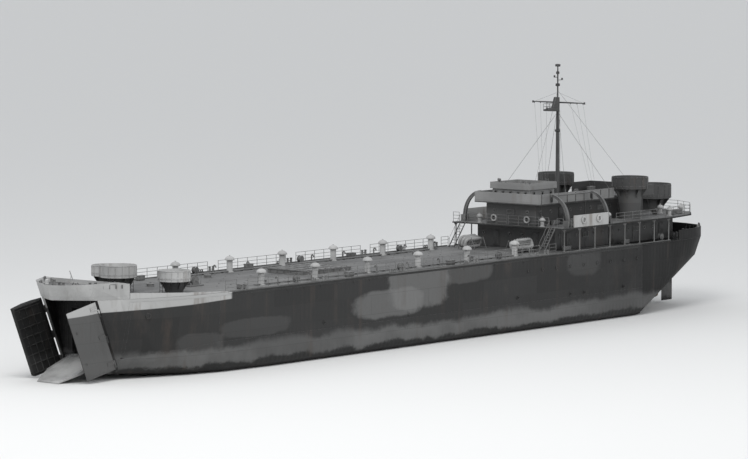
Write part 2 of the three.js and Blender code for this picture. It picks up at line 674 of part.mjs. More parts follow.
function buildDeckGear() {
  for (const { name, sign } of SIDES) {
    // Ventilators stand on a common pipe run
    const y = sign * 560;
    const pipe = box(-1500, 2700, y - 16, y + 16, DECK_Z + GAP, DECK_Z + 16);
    const heads = range(6).flatMap((i) => {
      const x = -1400 + i * 800;
      return [
        rod([x, y, DECK_Z + 8], [x, y, DECK_Z + 130], 30, 12),
        rod([x, y, DECK_Z + 120], [x, y, DECK_Z + 160], 50, 12, 38),
      ];
    });
    add(`ventilators_${name}`, join([pipe, ...heads]), palePaint());

    // Gunwale bar with bollards
    const edge = sign * 742;
    const bar = box(-1900, 3250, edge - 8, edge + 8, DECK_Z + GAP, DECK_Z + 10);
    const places = range(5).map((i) => -1700 + i * 1190);
    const bollards = places.flatMap((x) =>
      [x - 26, x + 26].map((at) => rod([at, edge, DECK_Z + 5], [at, edge, DECK_Z + 50], 12, 10)),
    );
    const plates = places.map((x) =>
      box(x - 50, x + 50, edge - 16, edge + 16, DECK_Z + GAP, DECK_Z + 12),
    );
    add(`gunwale_${name}`, join([bar, ...plates, ...bollards]), steel());

    // Life raft leaning outboard on its rack
    const raft = beam(
      [
        [280, GAP],
        [420, GAP],
        [420, 34],
        [380, 150],
        [262, 112],
      ].map(([across, up]) => [sign * across, DECK_Z + up]),
      -1950,
      -1650,
    );
    add(`life_raft_${name}`, raft, steel());
  }

  // Stern anchor winch on the fantail
  const bed = box(-4720, -4500, -130, 130, DECK_Z + GAP, DECK_Z + 14);
  const drum = rod([-4610, -100, DECK_Z + 70], [-4610, 100, DECK_Z + 70], 42, 16);
  const ends = [-100, 100].map((y) =>
    rod([-4610, y - 8, DECK_Z + 70], [-4610, y + 8, DECK_Z + 70], 62, 16),
  );
  const legs = [-112, 112].map((y) => box(-4650, -4570, y - 6, y + 6, DECK_Z + 10, DECK_Z + 80));
  add("stern_winch", join([bed, drum, ...ends, ...legs]), steel());

  const windlassBed = box(3000, 3160, -150, 150, DECK_Z + GAP, DECK_Z + 12);
  const windlassDrum = rod([3080, -130, DECK_Z + 55], [3080, 130, DECK_Z + 55], 34, 14);
  const windlassLegs = [-135, 135].map((y) => box(3050, 3110, y - 8, y + 8, DECK_Z + 8, DECK_Z + 80));
  add("deck_winch", join([windlassBed, windlassDrum, ...windlassLegs]), steel());

  // Stern anchor hung below its chute, with its flukes across the transom
  const chute = slab(
    [
      [-4780, 530],
      [-HALF_LENGTH + 4, 530],
      [-HALF_LENGTH, 500],
      [-4985, 490],
      [-4780, 505],
    ],
    -34,
    34,
  );
  const shank = rod([-4880, 0, 510], [-4850, 0, 330], 9, 8);
  const stock = rod([-4852, -95, 345], [-4852, 95, 345], 8, 8);
  const flukes = [-1, 1].map((side) =>
    hull([
      V(-4840, side * 8, 345),
      V(-4866, side * 8, 345),
      V(-4840, side * 50, 345),
      V(-4866, side * 50, 345),
      V(-4872, side * 22, 450),
      V(-4880, side * 22, 450),
    ]),
  );
  const crown = box(-4868, -4834, -56, 56, 330, 352);
  const clear = shipStern.translate(-GAP, 0, -GAP);
  add("stern_anchor", cut(join([chute, shank, stock, crown, ...flukes]), [clear, shipStern]), steel());
}

const shellAbove = buildHull();
const shipStern = buildStern();
buildBow(shellAbove);
buildDoors();
buildRamp();
buildPropulsion();
buildHatch();
buildTubs();
buildSuperstructure();
buildDavits();
buildMast();
buildDeckGear();

export default ship;
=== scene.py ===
"""Dresses the beached tank landing ship, a 1:10 model, in metres: +X to the bow, +Y to port, +Z up."""
import math

import bmesh
import bpy
from mathutils import Matrix, Vector
from mathutils.bvhtree import BVHTree


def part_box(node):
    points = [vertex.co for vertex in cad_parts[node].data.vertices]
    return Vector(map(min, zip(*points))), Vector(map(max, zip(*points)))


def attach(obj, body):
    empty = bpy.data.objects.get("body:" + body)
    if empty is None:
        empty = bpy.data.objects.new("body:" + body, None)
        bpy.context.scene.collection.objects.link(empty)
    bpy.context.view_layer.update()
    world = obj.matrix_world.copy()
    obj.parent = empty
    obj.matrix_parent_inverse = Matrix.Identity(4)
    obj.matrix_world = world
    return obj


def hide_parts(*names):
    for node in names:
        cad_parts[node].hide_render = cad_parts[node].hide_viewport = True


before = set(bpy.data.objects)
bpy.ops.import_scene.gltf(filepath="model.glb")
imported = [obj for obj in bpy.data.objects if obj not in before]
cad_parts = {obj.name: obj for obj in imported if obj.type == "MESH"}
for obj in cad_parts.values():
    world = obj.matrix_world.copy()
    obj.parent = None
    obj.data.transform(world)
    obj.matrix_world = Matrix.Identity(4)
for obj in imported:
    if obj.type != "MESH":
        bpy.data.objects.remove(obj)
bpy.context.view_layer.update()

UP = Vector((0, 0, 1))
SIDES = (("port", 1), ("starboard", -1))

# Places along the ship, from midships, and half breadths
PORTAL = 4.39
DOOR_HINGE, DOOR_HINGE_HALF = 4.37, 0.35
RAMP_HINGE, RAMP_HINGE_UP = 4.43, 0.2
BAND_AFT = 3.24
BULWARK_AFT = 3.3
BOAT_DECK_FRONT = -2.006
DAVIT_ARMS = (-2.15, -2.85)
DECK_RAIL, BOAT_RAIL = 0.722, 0.735
SHAFT_HALF, SHAFT_UP = 0.24, 0.125
HALL_HALF, HALL_FLOOR = 0.45, 0.3

# Heights and places read from the frame
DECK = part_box("main_deck_aft")[1].z
HALL_HEAD = DECK - 0.03
BOAT_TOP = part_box("davit_stands_port")[0].z
BRIDGE_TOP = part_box("bridge_deck")[1].z
CONNING_TOP = 1.412
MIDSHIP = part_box("main_deck_fore")[1].x - PORTAL
MAST_X = MIDSHIP - 2.88

# How far the doors' hinges lean forward for each metre up, and how far doors and ramp stand open
RAKE = 0.4245
DOOR_OPEN = math.radians(61.9)
RAMP_DROP = math.radians(19.6)


def at(x):
    """A distance from midships as a place in the frame."""
    return MIDSHIP + x


# Materials
class Nodes:
    """Adds nodes to one tree, and links or sets their inputs."""

    def __init__(self, tree):
        self.tree = tree

    def add(self, kind, inputs=None, **settings):
        node = self.tree.nodes.new("ShaderNode" + kind)
        for name, value in settings.items():
            setattr(node, name, value)
        for key, value in (inputs or {}).items():
            self.put(node.inputs[key], value)
        return node

    def put(self, socket, value):
        if isinstance(value, bpy.types.NodeSocket):
            self.tree.links.new(value, socket)
        else:
            socket.default_value = value

    def math(self, operation, first, second=0.0, clamp=False):
        return self.add("Math", {0: first, 1: second}, operation=operation, use_clamp=clamp).outputs[0]

    def ramp(self, value, low, high, to_low=0.0, to_high=1.0):
        ends = {"Value": value, "From Min": low, "From Max": high, "To Min": to_low, "To Max": to_high}
        return self.add("MapRange", ends, interpolation_type="SMOOTHSTEP").outputs[0]

    def noise(self, vector, scale, detail=4.0, rough=0.55):
        inputs = {"Vector": vector, "Scale": scale, "Detail": detail, "Roughness": rough}
        return self.add("TexNoise", inputs).outputs[0]

    def stretch(self, vector, scale, shift=(0.0, 0.0, 0.0)):
        return self.add("Mapping", {"Vector": vector, "Scale": scale, "Location": shift}).outputs[0]

    def mix(self, amount, first, second, blend="MIX"):
        node = self.add("Mix", data_type="RGBA", blend_type=blend)
        for index, value in ((0, amount), (6, first), (7, second)):
            self.put(node.inputs[index], value)
        return node.outputs[2]


def new_group(name, inputs, outputs):
    """A shader node group with named sockets: its node helper, its inputs and its outputs."""
    tree = bpy.data.node_groups.new(name, "ShaderNodeTree")
    for label, kind, value in inputs:
        socket = tree.interface.new_socket(label, in_out="INPUT", socket_type="NodeSocket" + kind)
        if value is not None:
            socket.default_value = value
    for label in outputs:
        tree.interface.new_socket(label, in_out="OUTPUT", socket_type="NodeSocketFloat")
    nodes = Nodes(tree)
    return nodes, tree.nodes.new("NodeGroupInput").outputs, tree.nodes.new("NodeGroupOutput").inputs


def plating_group():
    """Welded plates in rows: seam lines, a tone for each plate, and the dishing between frames."""
    nodes, take, give = new_group(
        "plating",
        [("Across", "Float", 0.0), ("Up", "Float", 0.0), ("Butt", "Float", 0.9),
         ("Strake", "Float", 0.19), ("Seam", "Float", 0.002), ("Frame", "Float", 0.061)],
        ["Seam", "Tone", "Dish"],
    )
    row = nodes.math("DIVIDE", take["Up"], take["Strake"])
    row_number = nodes.math("FLOOR", row)
    shifted = nodes.math("ADD", nodes.math("DIVIDE", take["Across"], take["Butt"]),
                         nodes.math("MULTIPLY", row_number, 0.37))
    row_gap = nodes.math("MULTIPLY", nodes.math("PINGPONG", row, 0.5), take["Strake"])
    butt_gap = nodes.math("MULTIPLY", nodes.math("PINGPONG", shifted, 0.5), take["Butt"])
    nearest = nodes.math("MINIMUM", row_gap, butt_gap)
    nodes.put(give["Seam"], nodes.ramp(nearest, 0.0, take["Seam"], 1.0, 0.0))
    plate = nodes.add("CombineXYZ", {"X": nodes.math("FLOOR", shifted), "Y": row_number}).outputs[0]
    tone = nodes.add("TexWhiteNoise", {"Vector": plate}, noise_dimensions="3D").outputs["Value"]
    nodes.put(give["Tone"], tone)
    bay = nodes.math("PINGPONG", nodes.math("DIVIDE", take["Across"], take["Frame"]), 0.5)
    dished = nodes.math("MULTIPLY", nodes.ramp(bay, 0.0, 0.5), nodes.ramp(row_gap, 0.0, 0.05))
    nodes.put(give["Dish"], dished)
    return nodes.tree


def weather_group():
    """Runs of dirt, broad blotches, fine speckle, and worn raised edges."""
    nodes, take, give = new_group(
        "weather",
        [("Vector", "Vector", None), ("Runs", "Float", 9.0), ("Blotches", "Float", 1.2),
         ("Wear Width", "Float", 0.004)],
        ["Run", "Blotch", "Speckle", "Edge"],
    )
    thin = nodes.noise(nodes.stretch(take["Vector"], (1.0, 1.0, 0.05)), take["Runs"], 5.0, 0.6)
    broken = nodes.noise(take["Vector"], 3.0, 4.0)
    run = nodes.math("MULTIPLY", nodes.ramp(thin, 0.5, 0.7), nodes.ramp(broken, 0.4, 0.62))
    nodes.put(give["Run"], run)
    broad = nodes.noise(take["Vector"], take["Blotches"], 6.0, 0.6)
    nodes.put(give["Blotch"], nodes.ramp(broad, 0.32, 0.68))
    fine = nodes.noise(take["Vector"], 70.0, 5.0, 0.7)
    nodes.put(give["Speckle"], nodes.ramp(fine, 0.45, 0.7))
    eased = nodes.add("Bevel", {"Radius": take["Wear Width"]}, samples=4).outputs[0]
    flat = nodes.add("NewGeometry").outputs["Normal"]
    turn = nodes.add("VectorMath", {0: eased, 1: flat}, operation="DOT_PRODUCT").outputs["Value"]
    bent = nodes.ramp(turn, 0.86, 0.995, 1.0, 0.0)
    chipped = nodes.ramp(nodes.noise(take["Vector"], 42.0, 4.0), 0.42, 0.56)
    nodes.put(give["Edge"], nodes.math("MULTIPLY", bent, chipped))
    return nodes.tree


def patch_group():
    """One paler patch on the side: a soft block in length and height, with a ragged edge."""
    nodes, take, give = new_group(
        "paint patch",
        [("Along", "Float", 0.0), ("Up", "Float", 0.0), ("Middle", "Float", 0.0), ("Height", "Float", 0.5),
         ("Half Length", "Float", 0.5), ("Half Height", "Float", 0.3), ("Ragged", "Float", 0.0)],
        ["Patch"],
    )
    reach = []
    for place, middle, half in (("Along", "Middle", "Half Length"), ("Up", "Height", "Half Height")):
        offset = nodes.math("DIVIDE", nodes.math("SUBTRACT", take[place], take[middle]), take[half])
        reach.append(nodes.math("POWER", nodes.math("ABSOLUTE", offset), 3.4))
    total = nodes.math("ADD", nodes.math("ADD", *reach), take["Ragged"])
    nodes.put(give["Patch"], nodes.ramp(total, 0.55, 1.25, 1.0, 0.0))
    return nodes.tree


PLATING = plating_group()
WEATHER = weather_group()
PATCH = patch_group()
RUST = (0.075, 0.058, 0.048, 1.0)
PALE_TONE = 0.41


def grey(level):
    return (level, level, level * 0.985, 1.0)


class Finish:
    """One painted surface: layers of colour over a base, with roughness and bump from the same masks."""

    def __init__(self, name, base, roughness, runs=9.0, blotches=1.2, metallic=0.0, wear=0.004):
        self.material = bpy.data.materials.new(name)
        self.material.use_nodes = True
        self.nodes = Nodes(self.material.node_tree)
        self.shader = self.material.node_tree.nodes["Principled BSDF"]
        self.shader.inputs["Metallic"].default_value = metallic
        self.place = self.nodes.add("TexCoord").outputs["Object"]
        self.xyz = self.nodes.add("SeparateXYZ", {"Vector": self.place}).outputs
        weather = self.nodes.add("Group", node_tree=WEATHER)
        self.nodes.put(weather.inputs["Vector"], self.place)
        for key, value in (("Runs", runs), ("Blotches", blotches), ("Wear Width", wear)):
            weather.inputs[key].default_value = value
        self.weather = weather.outputs
        self.colour = grey(base)
        self.rough = roughness
        self.height = self.nodes.math("MULTIPLY", self.weather["Speckle"], 0.12)

    def cover(self, mask, level, strength=1.0):
        amount = self.nodes.math("MULTIPLY", mask, strength, clamp=True)
        colour = grey(level) if isinstance(level, float) else level
        self.colour = self.nodes.mix(amount, self.colour, colour)

    def shade(self, mask, low, high):
        """Multiplies the colour by a factor from low to high as the mask goes from 0 to 1."""
        factor = self.nodes.ramp(mask, 0.0, 1.0, low, high)
        self.colour = self.nodes.mix(1.0, self.colour, factor, "MULTIPLY")

    def plates(self, across, up, **sizes):
        plates = self.nodes.add("Group", node_tree=PLATING)
        self.nodes.put(plates.inputs["Across"], across)
        self.nodes.put(plates.inputs["Up"], up)
        for key, value in sizes.items():
            plates.inputs[key].default_value = value
        return plates.outputs

    def facing(self):
        """The surface's own direction, and how far it faces out from the middle line."""
        normal = self.nodes.add("TexCoord").outputs["Normal"]
        parts = self.nodes.add("SeparateXYZ", {"Vector": normal}).outputs
        return parts, self.nodes.math("MULTIPLY", parts["Y"], self.xyz["Y"])

    def raise_by(self, mask, amount):
        self.height = self.nodes.math("ADD", self.height, self.nodes.math("MULTIPLY", mask, amount))

    def done(self, bump=0.4, distance=0.002, spread=0.12):
        nodes = self.nodes
        nodes.put(self.shader.inputs["Base Color"], self.colour)
        rough = nodes.ramp(self.weather["Blotch"], 0.0, 1.0, self.rough - spread, self.rough + spread)
        nodes.put(self.shader.inputs["Roughness"], rough)
        bumped = nodes.add("Bump", {"Strength": bump, "Distance": distance, "Height": self.height})
        nodes.put(self.shader.inputs["Normal"], bumped.outputs[0])
        return self.material


def bow_only(nodes, x):
    """A mask that keeps the pale band to the bow."""
    return nodes.ramp(x, at(BAND_AFT), at(BAND_AFT + 0.03))


def hull_material():
    """Dark hull paint with paler patches, a pale bow band, and a weathered belt low on the side; painted
    shade darkens the stern, the foot of the side and the doors' inner faces.
    """
    made = Finish("hull paint", 0.024, 0.66, runs=8.0, blotches=0.9)
    made.shader.inputs["Specular IOR Level"].default_value = 0.3
    nodes, weather = made.nodes, made.weather
    x, up = made.xyz["X"], made.xyz["Z"]
    plates = made.plates(x, up)
    made.shade(plates["Tone"], 0.88, 1.12)
    made.shade(weather["Blotch"], 0.84, 1.22)
    # Painted shade: the colour darkens towards the stern, which lies in shade
    made.shade(nodes.ramp(x, at(-4.2), at(-1.6)), 0.35, 1.0)
    ragged = nodes.ramp(nodes.noise(made.place, 2.6, 7.0, 0.62), 0.25, 0.75, -0.5, 0.5)
    # Columns: middle along the ship, height, half length, half height, strength
    for middle, height, length, tall, strength in (
        (0.42, 0.62, 0.5, 0.24, 0.55), (0.92, 0.47, 0.55, 0.14, 0.5), (-0.35, 0.7, 0.4, 0.12, 0.26),
        (-2.35, 0.66, 0.3, 0.16, 0.14), (2.9, 0.4, 0.5, 0.09, 0.12), (3.6, 0.3, 0.3, 0.1, 0.14),
    ):
        patch = nodes.add("Group", node_tree=PATCH)
        values = {"Along": x, "Up": up, "Middle": at(middle), "Height": height,
                  "Half Length": length, "Half Height": tall, "Ragged": ragged}
        for key, value in values.items():
            nodes.put(patch.inputs[key], value)
        made.cover(patch.outputs[0], 0.2, strength)
    # The belt that dries out with the tide
    swell = nodes.ramp(nodes.noise(made.place, 1.8, 8.0, 0.68), 0.25, 0.75, -0.05, 0.05)
    wavy = nodes.math("ADD", up, swell)
    belt = nodes.math("MULTIPLY", nodes.ramp(wavy, 0.06, 0.1), nodes.ramp(wavy, 0.19, 0.27, 1.0, 0.0))
    mottled = nodes.math("MULTIPLY", belt, nodes.ramp(weather["Blotch"], 0.0, 1.0, 0.5, 1.0))
    made.cover(mottled, 0.19, 0.62)
    # Painted shadow under the turn of the bilge: the lowest strip of the side is darkened
    made.cover(nodes.ramp(wavy, 0.085, 0.045), 0.014, 0.8)
    # The doors stand open with paler outer faces, and painted shade darkens their inner faces
    facing, outside = made.facing()
    ahead = nodes.math("SUBTRACT", x, nodes.math("MULTIPLY", up, RAKE))
    ahead = nodes.ramp(ahead, at(DOOR_HINGE + 0.005), at(DOOR_HINGE + 0.015))
    made.cover(nodes.math("MULTIPLY", ahead, nodes.ramp(outside, 0.02, 0.12)), 0.1, 0.8)
    made.cover(nodes.math("MULTIPLY", ahead, nodes.ramp(outside, -0.02, -0.12)), 0.012, 0.8)
    # Rust and dirt
    made.cover(weather["Run"], RUST, 0.4)
    made.cover(plates["Seam"], 0.022, 0.55)
    # The pale band along the bow and the tops of the doors
    edge = nodes.math("MULTIPLY", nodes.math("SUBTRACT", x, at(BULWARK_AFT)), -0.038)
    edge = nodes.math("ADD", 0.7, edge)
    above = nodes.ramp(nodes.math("SUBTRACT", up, edge), -0.006, 0.004)
    outer = nodes.math("MULTIPLY", nodes.ramp(outside, -0.04, -0.01), nodes.ramp(facing["X"], 0.92, 0.85))
    outer = nodes.math("MAXIMUM", outer, nodes.ramp(x, at(DOOR_HINGE), at(DOOR_HINGE - 0.01)))
    band = nodes.math("MULTIPLY", bow_only(nodes, x), nodes.math("MULTIPLY", above, outer))
    guards = nodes.ramp(up, BOAT_TOP + 0.0005, BOAT_TOP + 0.0015)
    band = nodes.math("MAXIMUM", band, guards)
    made.cover(band, nodes.mix(weather["Run"], grey(PALE_TONE), (0.24, 0.225, 0.21, 1.0)), 0.96)
    made.cover(weather["Edge"], 0.16, 0.5)
    made.raise_by(plates["Seam"], 0.5)
    made.raise_by(plates["Dish"], -0.6)
    return made.done(bump=0.55, distance=0.0026)


def deck_material():
    """Deck steel in plates, worn and stained. Its outer edge is painted with the hull."""
    made = Finish("deck paint", 0.105, 0.74, runs=14.0, blotches=1.6)
    plates = made.plates(made.xyz["X"], made.xyz["Y"], Butt=0.76, Strake=0.17)
    made.shade(plates["Tone"], 0.88, 1.12)
    made.shade(made.weather["Blotch"], 0.7, 1.4)
    made.cover(made.weather["Speckle"], 0.17, 0.22)
    # Wheel tracks worn pale along the deck
    tracks = made.nodes.math("PINGPONG", made.nodes.math("ABSOLUTE", made.xyz["Y"]), 0.19)
    worn = made.nodes.noise(made.nodes.stretch(made.place, (0.5, 14.0, 1.0)), 2.0, 5.0)
    mask = made.nodes.math("MULTIPLY", made.nodes.ramp(tracks, 0.06, 0.1), made.nodes.ramp(worn, 0.4, 0.7))
    made.cover(mask, 0.2, 0.4)
    made.cover(plates["Seam"], 0.05, 0.6)
    facing, outside = made.facing()
    edge = made.nodes.math("MULTIPLY", made.nodes.ramp(outside, 0.05, 0.15),
                           made.nodes.ramp(facing["Z"], 0.6, 0.4))
    made.cover(edge, 0.02, 0.96)
    made.cover(made.nodes.math("MULTIPLY", edge, bow_only(made.nodes, made.xyz["X"])), PALE_TONE, 0.96)
    made.cover(made.weather["Edge"], 0.26, 0.6)
    made.raise_by(plates["Seam"], 0.4)
    return made.done(bump=0.4, distance=0.0016)


def pale_material(name, base):
    """Pale upperworks paint, chalked and run with rust."""
    made = Finish(name, base, 0.66, runs=12.0, blotches=2.2)
    plates = made.plates(made.xyz["X"], made.xyz["Z"], Butt=0.42, Strake=0.16)
    made.shade(plates["Tone"], 0.95, 1.04)
    made.shade(made.weather["Blotch"], 0.84, 1.08)
    made.cover(made.weather["Run"], (0.15, 0.13, 0.115, 1.0), 0.5)
    made.cover(made.weather["Speckle"], base * 0.65, 0.2)
    made.cover(plates["Seam"], base * 0.5, 0.4)
    made.cover(made.weather["Edge"], 0.11, 0.6)
    made.raise_by(plates["Seam"], 0.3)
    return made.done(bump=0.35, distance=0.0014)


def house_material():
    """Dark upperworks paint on the houses aft."""
    made = Finish("house paint", 0.046, 0.62, runs=16.0, blotches=2.0)
    plates = made.plates(made.xyz["X"], made.xyz["Z"], Butt=0.5, Strake=0.12)
    made.shade(plates["Tone"], 0.86, 1.15)
    made.shade(made.weather["Blotch"], 0.78, 1.3)
    made.cover(made.weather["Run"], RUST, 0.4)
    made.cover(plates["Seam"], 0.035, 0.5)
    made.cover(made.weather["Edge"], 0.22, 0.6)
    made.raise_by(plates["Seam"], 0.4)
    made.raise_by(plates["Dish"], -0.35)
    return made.done(bump=0.45, distance=0.0018)


def gear_material(name, base, rough=0.55, metallic=0.0, wear=0.3, blotches=4.0):
    """Painted steel of the small gear."""
    made = Finish(name, base, rough, runs=24.0, blotches=blotches, metallic=metallic, wear=0.002)
    made.shade(made.weather["Blotch"], 0.75, 1.25)
    made.cover(made.weather["Run"], RUST, 0.3)
    made.cover(made.weather["Speckle"], base * 1.5, 0.2)
    made.cover(made.weather["Edge"], wear, 0.6)
    return made.done(bump=0.3, distance=0.001)


def bronze_material():
    """Cast bronze, dulled by the sea."""
    made = Finish("cast bronze", 0.3, 0.42, runs=20.0, blotches=8.0, metallic=0.9, wear=0.002)
    made.colour = (0.34, 0.25, 0.13, 1.0)
    made.shade(made.weather["Blotch"], 0.5, 1.1)
    made.cover(made.weather["Speckle"], (0.09, 0.12, 0.1, 1.0), 0.5)
    made.cover(made.weather["Edge"], (0.5, 0.38, 0.2, 1.0), 0.5)
    return made.done(bump=0.35, distance=0.001)


HULL = hull_material()
PLATES = deck_material()
PALE = pale_material("pale paint", PALE_TONE)
STONE = pale_material("dull pale paint", 0.22)
HOUSE = house_material()
GEAR = gear_material("gear paint", 0.12)
DARK = gear_material("dark fittings", 0.035, 0.5, wear=0.14)
RAMP_STEEL = gear_material("ramp steel", 0.33, 0.6, wear=0.45, blotches=2.5)
WIRE = gear_material("wire rope", 0.1, 0.45, metallic=0.4, blotches=8.0)
LINEN = gear_material("stowed canvas", 0.26, 0.9, wear=0.3)
GLASS = gear_material("port glass", 0.012, 0.16, wear=0.03)
BRONZE = bronze_material()


# Shape helpers
def add_box(bm, low, high, bevel=0.0, turn=None, segments=2):
    low, high = Vector(low), Vector(high)
    matrix = Matrix.LocRotScale((low + high) / 2, turn, high - low)
    made = bmesh.ops.create_cube(bm, size=1.0, matrix=matrix)["verts"]
    if bevel:
        edges = list({edge for vert in made for edge in vert.link_edges})
        bmesh.ops.bevel(bm, geom=edges, offset=bevel, offset_type="OFFSET", segments=segments,
                        profile=0.5, affect="EDGES", material=-1)


def add_side_box(bm, sign, low, high):
    """A box given by its distances from the middle line, on the side that sign says."""
    near, far = sorted((sign * low[1], sign * high[1]))
    add_box(bm, (low[0], near, low[2]), (high[0], far, high[2]))


def add_rod(bm, start, end, radius, sides=10, end_radius=None):
    start, end = Vector(start), Vector(end)
    turn = (end - start).to_track_quat("Z", "Y").to_matrix().to_4x4()
    last = radius if end_radius is None else end_radius
    bmesh.ops.create_cone(bm, cap_ends=True, segments=sides, radius1=radius, radius2=last,
                          depth=(end - start).length, matrix=Matrix.Translation((start + end) / 2) @ turn)


def add_ball(bm, centre, radius, sides=12, scale=(1, 1, 1)):
    matrix = Matrix.LocRotScale(Vector(centre), None, Vector(scale))
    bmesh.ops.create_uvsphere(bm, u_segments=sides, v_segments=max(6, sides // 2), radius=radius,
                              matrix=matrix)


def pipe(bm, points, radius, sides=8):
    """Straight runs of pipe from point to point, with a ball at each bend."""
    for start, end in zip(points, points[1:]):
        add_rod(bm, start, end, radius, sides)
    for point in points[1:-1]:
        add_ball(bm, point, radius * 1.02, sides)


def outline_solid(bm, outline, depth, matrix=Matrix()):
    """A flat outline, x and y, drawn out along +Z by depth, then placed."""
    face = bm.faces.new([bm.verts.new(matrix @ Vector((x, y, 0))) for x, y in outline])
    raised = bmesh.ops.extrude_face_region(bm, geom=[face], use_keep_orig=True)["geom"]
    moved = [item for item in raised if isinstance(item, bmesh.types.BMVert)]
    bmesh.ops.translate(bm, verts=moved, vec=matrix.to_3x3() @ Vector((0, 0, depth)))


def kept(bm, name="unit"):
    """The mesh of a finished bmesh, with its faces turned out."""
    bmesh.ops.recalc_face_normals(bm, faces=bm.faces)
    mesh = bpy.data.meshes.new(name)
    bm.to_mesh(mesh)
    bm.free()
    return mesh


def unit(build):
    """A mesh made once at the origin, to be stamped in many places."""
    bm = bmesh.new()
    build(bm)
    return kept(bm)


def lathe(profile, steps=24, closed=False):
    """A turned mesh about +Z. An open profile starts and ends on the axis."""
    bm = bmesh.new()
    verts = [bm.verts.new((radius, 0, height)) for radius, height in profile]
    pairs = list(zip(verts, verts[1:])) + ([(verts[-1], verts[0])] if closed else [])
    edges = [bm.edges.new(pair) for pair in pairs]
    bmesh.ops.spin(bm, geom=verts + edges, cent=(0, 0, 0), axis=(0, 0, 1), dvec=(0, 0, 0),
                   angle=2 * math.pi, steps=steps, use_merge=True)
    bmesh.ops.remove_doubles(bm, verts=bm.verts, dist=1e-5)
    return kept(bm)


def ring_of(radius, thick, steps=24, sides=8):
    """A plain round ring about +Z."""
    turns = [2 * math.pi * i / sides for i in range(sides)]
    profile = [(radius + thick * math.cos(turn), thick * math.sin(turn)) for turn in turns]
    return lathe(profile, steps, closed=True)


def stamp(bm, mesh, matrix):
    """Adds a placed copy of a unit to a bmesh."""
    copy = mesh.copy()
    copy.transform(matrix)
    if matrix.determinant() < 0:
        copy.flip_normals()
    bm.from_mesh(copy)
    bpy.data.meshes.remove(copy)


def move(x, y, z, turn_z=0.0, turn_y=0.0, turn_x=0.0, scale=1.0):
    turn = Matrix.Rotation(turn_z, 4, "Z") @ Matrix.Rotation(turn_y, 4, "Y")
    turn = turn @ Matrix.Rotation(turn_x, 4, "X")
    return Matrix.Translation((x, y, z)) @ turn @ Matrix.Scale(scale, 4)


def axes(along, up, out):
    """The turn that takes x, y and z to three directions."""
    return Matrix((along, up, out)).transposed().to_4x4()


def on_wall(point, outward, scale=1.0):
    """Places a unit drawn with x to the right, y up and z out of the wall."""
    out = Vector(outward).normalized()
    up = (UP - out * out.z).normalized()
    return Matrix.Translation(Vector(point)) @ axes(up.cross(out), up, out) @ Matrix.Scale(scale, 4)


def settle(bm, name, material, body="root", replaces=(), smooth=32, recalc=True):
    """Turns a bmesh into a finished piece that rides its body."""
    if recalc:
        bmesh.ops.recalc_face_normals(bm, faces=bm.faces)
    mesh = bpy.data.meshes.new(name)
    bm.to_mesh(mesh)
    bm.free()
    mesh.polygons.foreach_set("use_smooth", [True] * len(mesh.polygons))
    mesh.set_sharp_from_angle(angle=math.radians(smooth))
    piece = bpy.data.objects.new(name, mesh)
    bpy.context.scene.collection.objects.link(piece)
    mesh.materials.append(material)
    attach(piece, body)
    if replaces:
        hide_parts(*replaces)
    return piece


def dress(node, material, name, bevel=0.0015, wide=0.0, bend=28, body="root"):
    """A copy of a frame node with its facets merged, its edges eased and its broad bends rounded."""
    bm = bmesh.new()
    bm.from_mesh(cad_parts[node].data)
    bmesh.ops.remove_doubles(bm, verts=bm.verts, dist=2e-5)
    bmesh.ops.dissolve_limit(bm, angle_limit=math.radians(0.6), use_dissolve_boundaries=False,
                             verts=bm.verts, edges=bm.edges)
    if wide:
        bends = [edge for edge in bm.edges if edge.is_manifold
                 and math.radians(3) < edge.calc_face_angle(0) < math.radians(bend)]
        bmesh.ops.bevel(bm, geom=bends, offset=wide, offset_type="OFFSET", segments=5, profile=0.5,
                        affect="EDGES", material=-1, clamp_overlap=True)
    if bevel:
        sharp = [edge for edge in bm.edges if edge.is_manifold
                 and edge.calc_face_angle(0) > math.radians(bend)]
        bmesh.ops.bevel(bm, geom=sharp, offset=bevel, offset_type="OFFSET", segments=2, profile=0.5,
                        affect="EDGES", material=-1, clamp_overlap=True)
    return settle(bm, name, material, body, (node,), smooth=max(24, bend - 4), recalc=False)


SKINS = {}


def skin_of(node):
    if node not in SKINS:
        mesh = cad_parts[node].data
        corners = [vert.co for vert in mesh.vertices]
        SKINS[node] = BVHTree.FromPolygons(corners, [face.vertices for face in mesh.polygons])
    return SKINS[node]


def on_side(x, z, sign):
    """The hull's outer skin, point and direction, at a place along the ship and a height."""
    side = "port" if sign > 0 else "starboard"
    nodes = (f"hull_side_{side}", f"hull_shoulder_{side}", f"bow_cheek_{side}", f"bow_bulwark_{side}",
             "hull_stern", "hull_bottom", "main_deck_aft", "main_deck_hatch_bay", "main_deck_fore")
    hits = [skin_of(node).ray_cast(Vector((x, sign * 2, z)), Vector((0, -sign, 0))) for node in nodes]
    point, outward = max((hit[:2] for hit in hits if hit[0]), key=lambda hit: abs(hit[0].y))
    return point, outward


# Small fittings, each drawn once
def port_rim():
    rim = [(0.0125, -0.003), (0.017, -0.003), (0.0178, 0.002), (0.016, 0.005), (0.0125, 0.004)]
    return lathe(rim, 16, closed=True)


def port_pane():
    return unit(lambda bm: add_rod(bm, (0, 0, -0.003), (0, 0, 0.0015), 0.0128, 16))


def port_brow():
    """A rain gutter over a porthole."""
    def build(bm):
        points = [(0.021 * math.cos(turn), 0.021 * math.sin(turn) + 0.001, 0.002)
                  for turn in (0.45, 0.95, 1.57, 2.19, 2.69)]
        pipe(bm, points, 0.0016, 6)
    return unit(build)


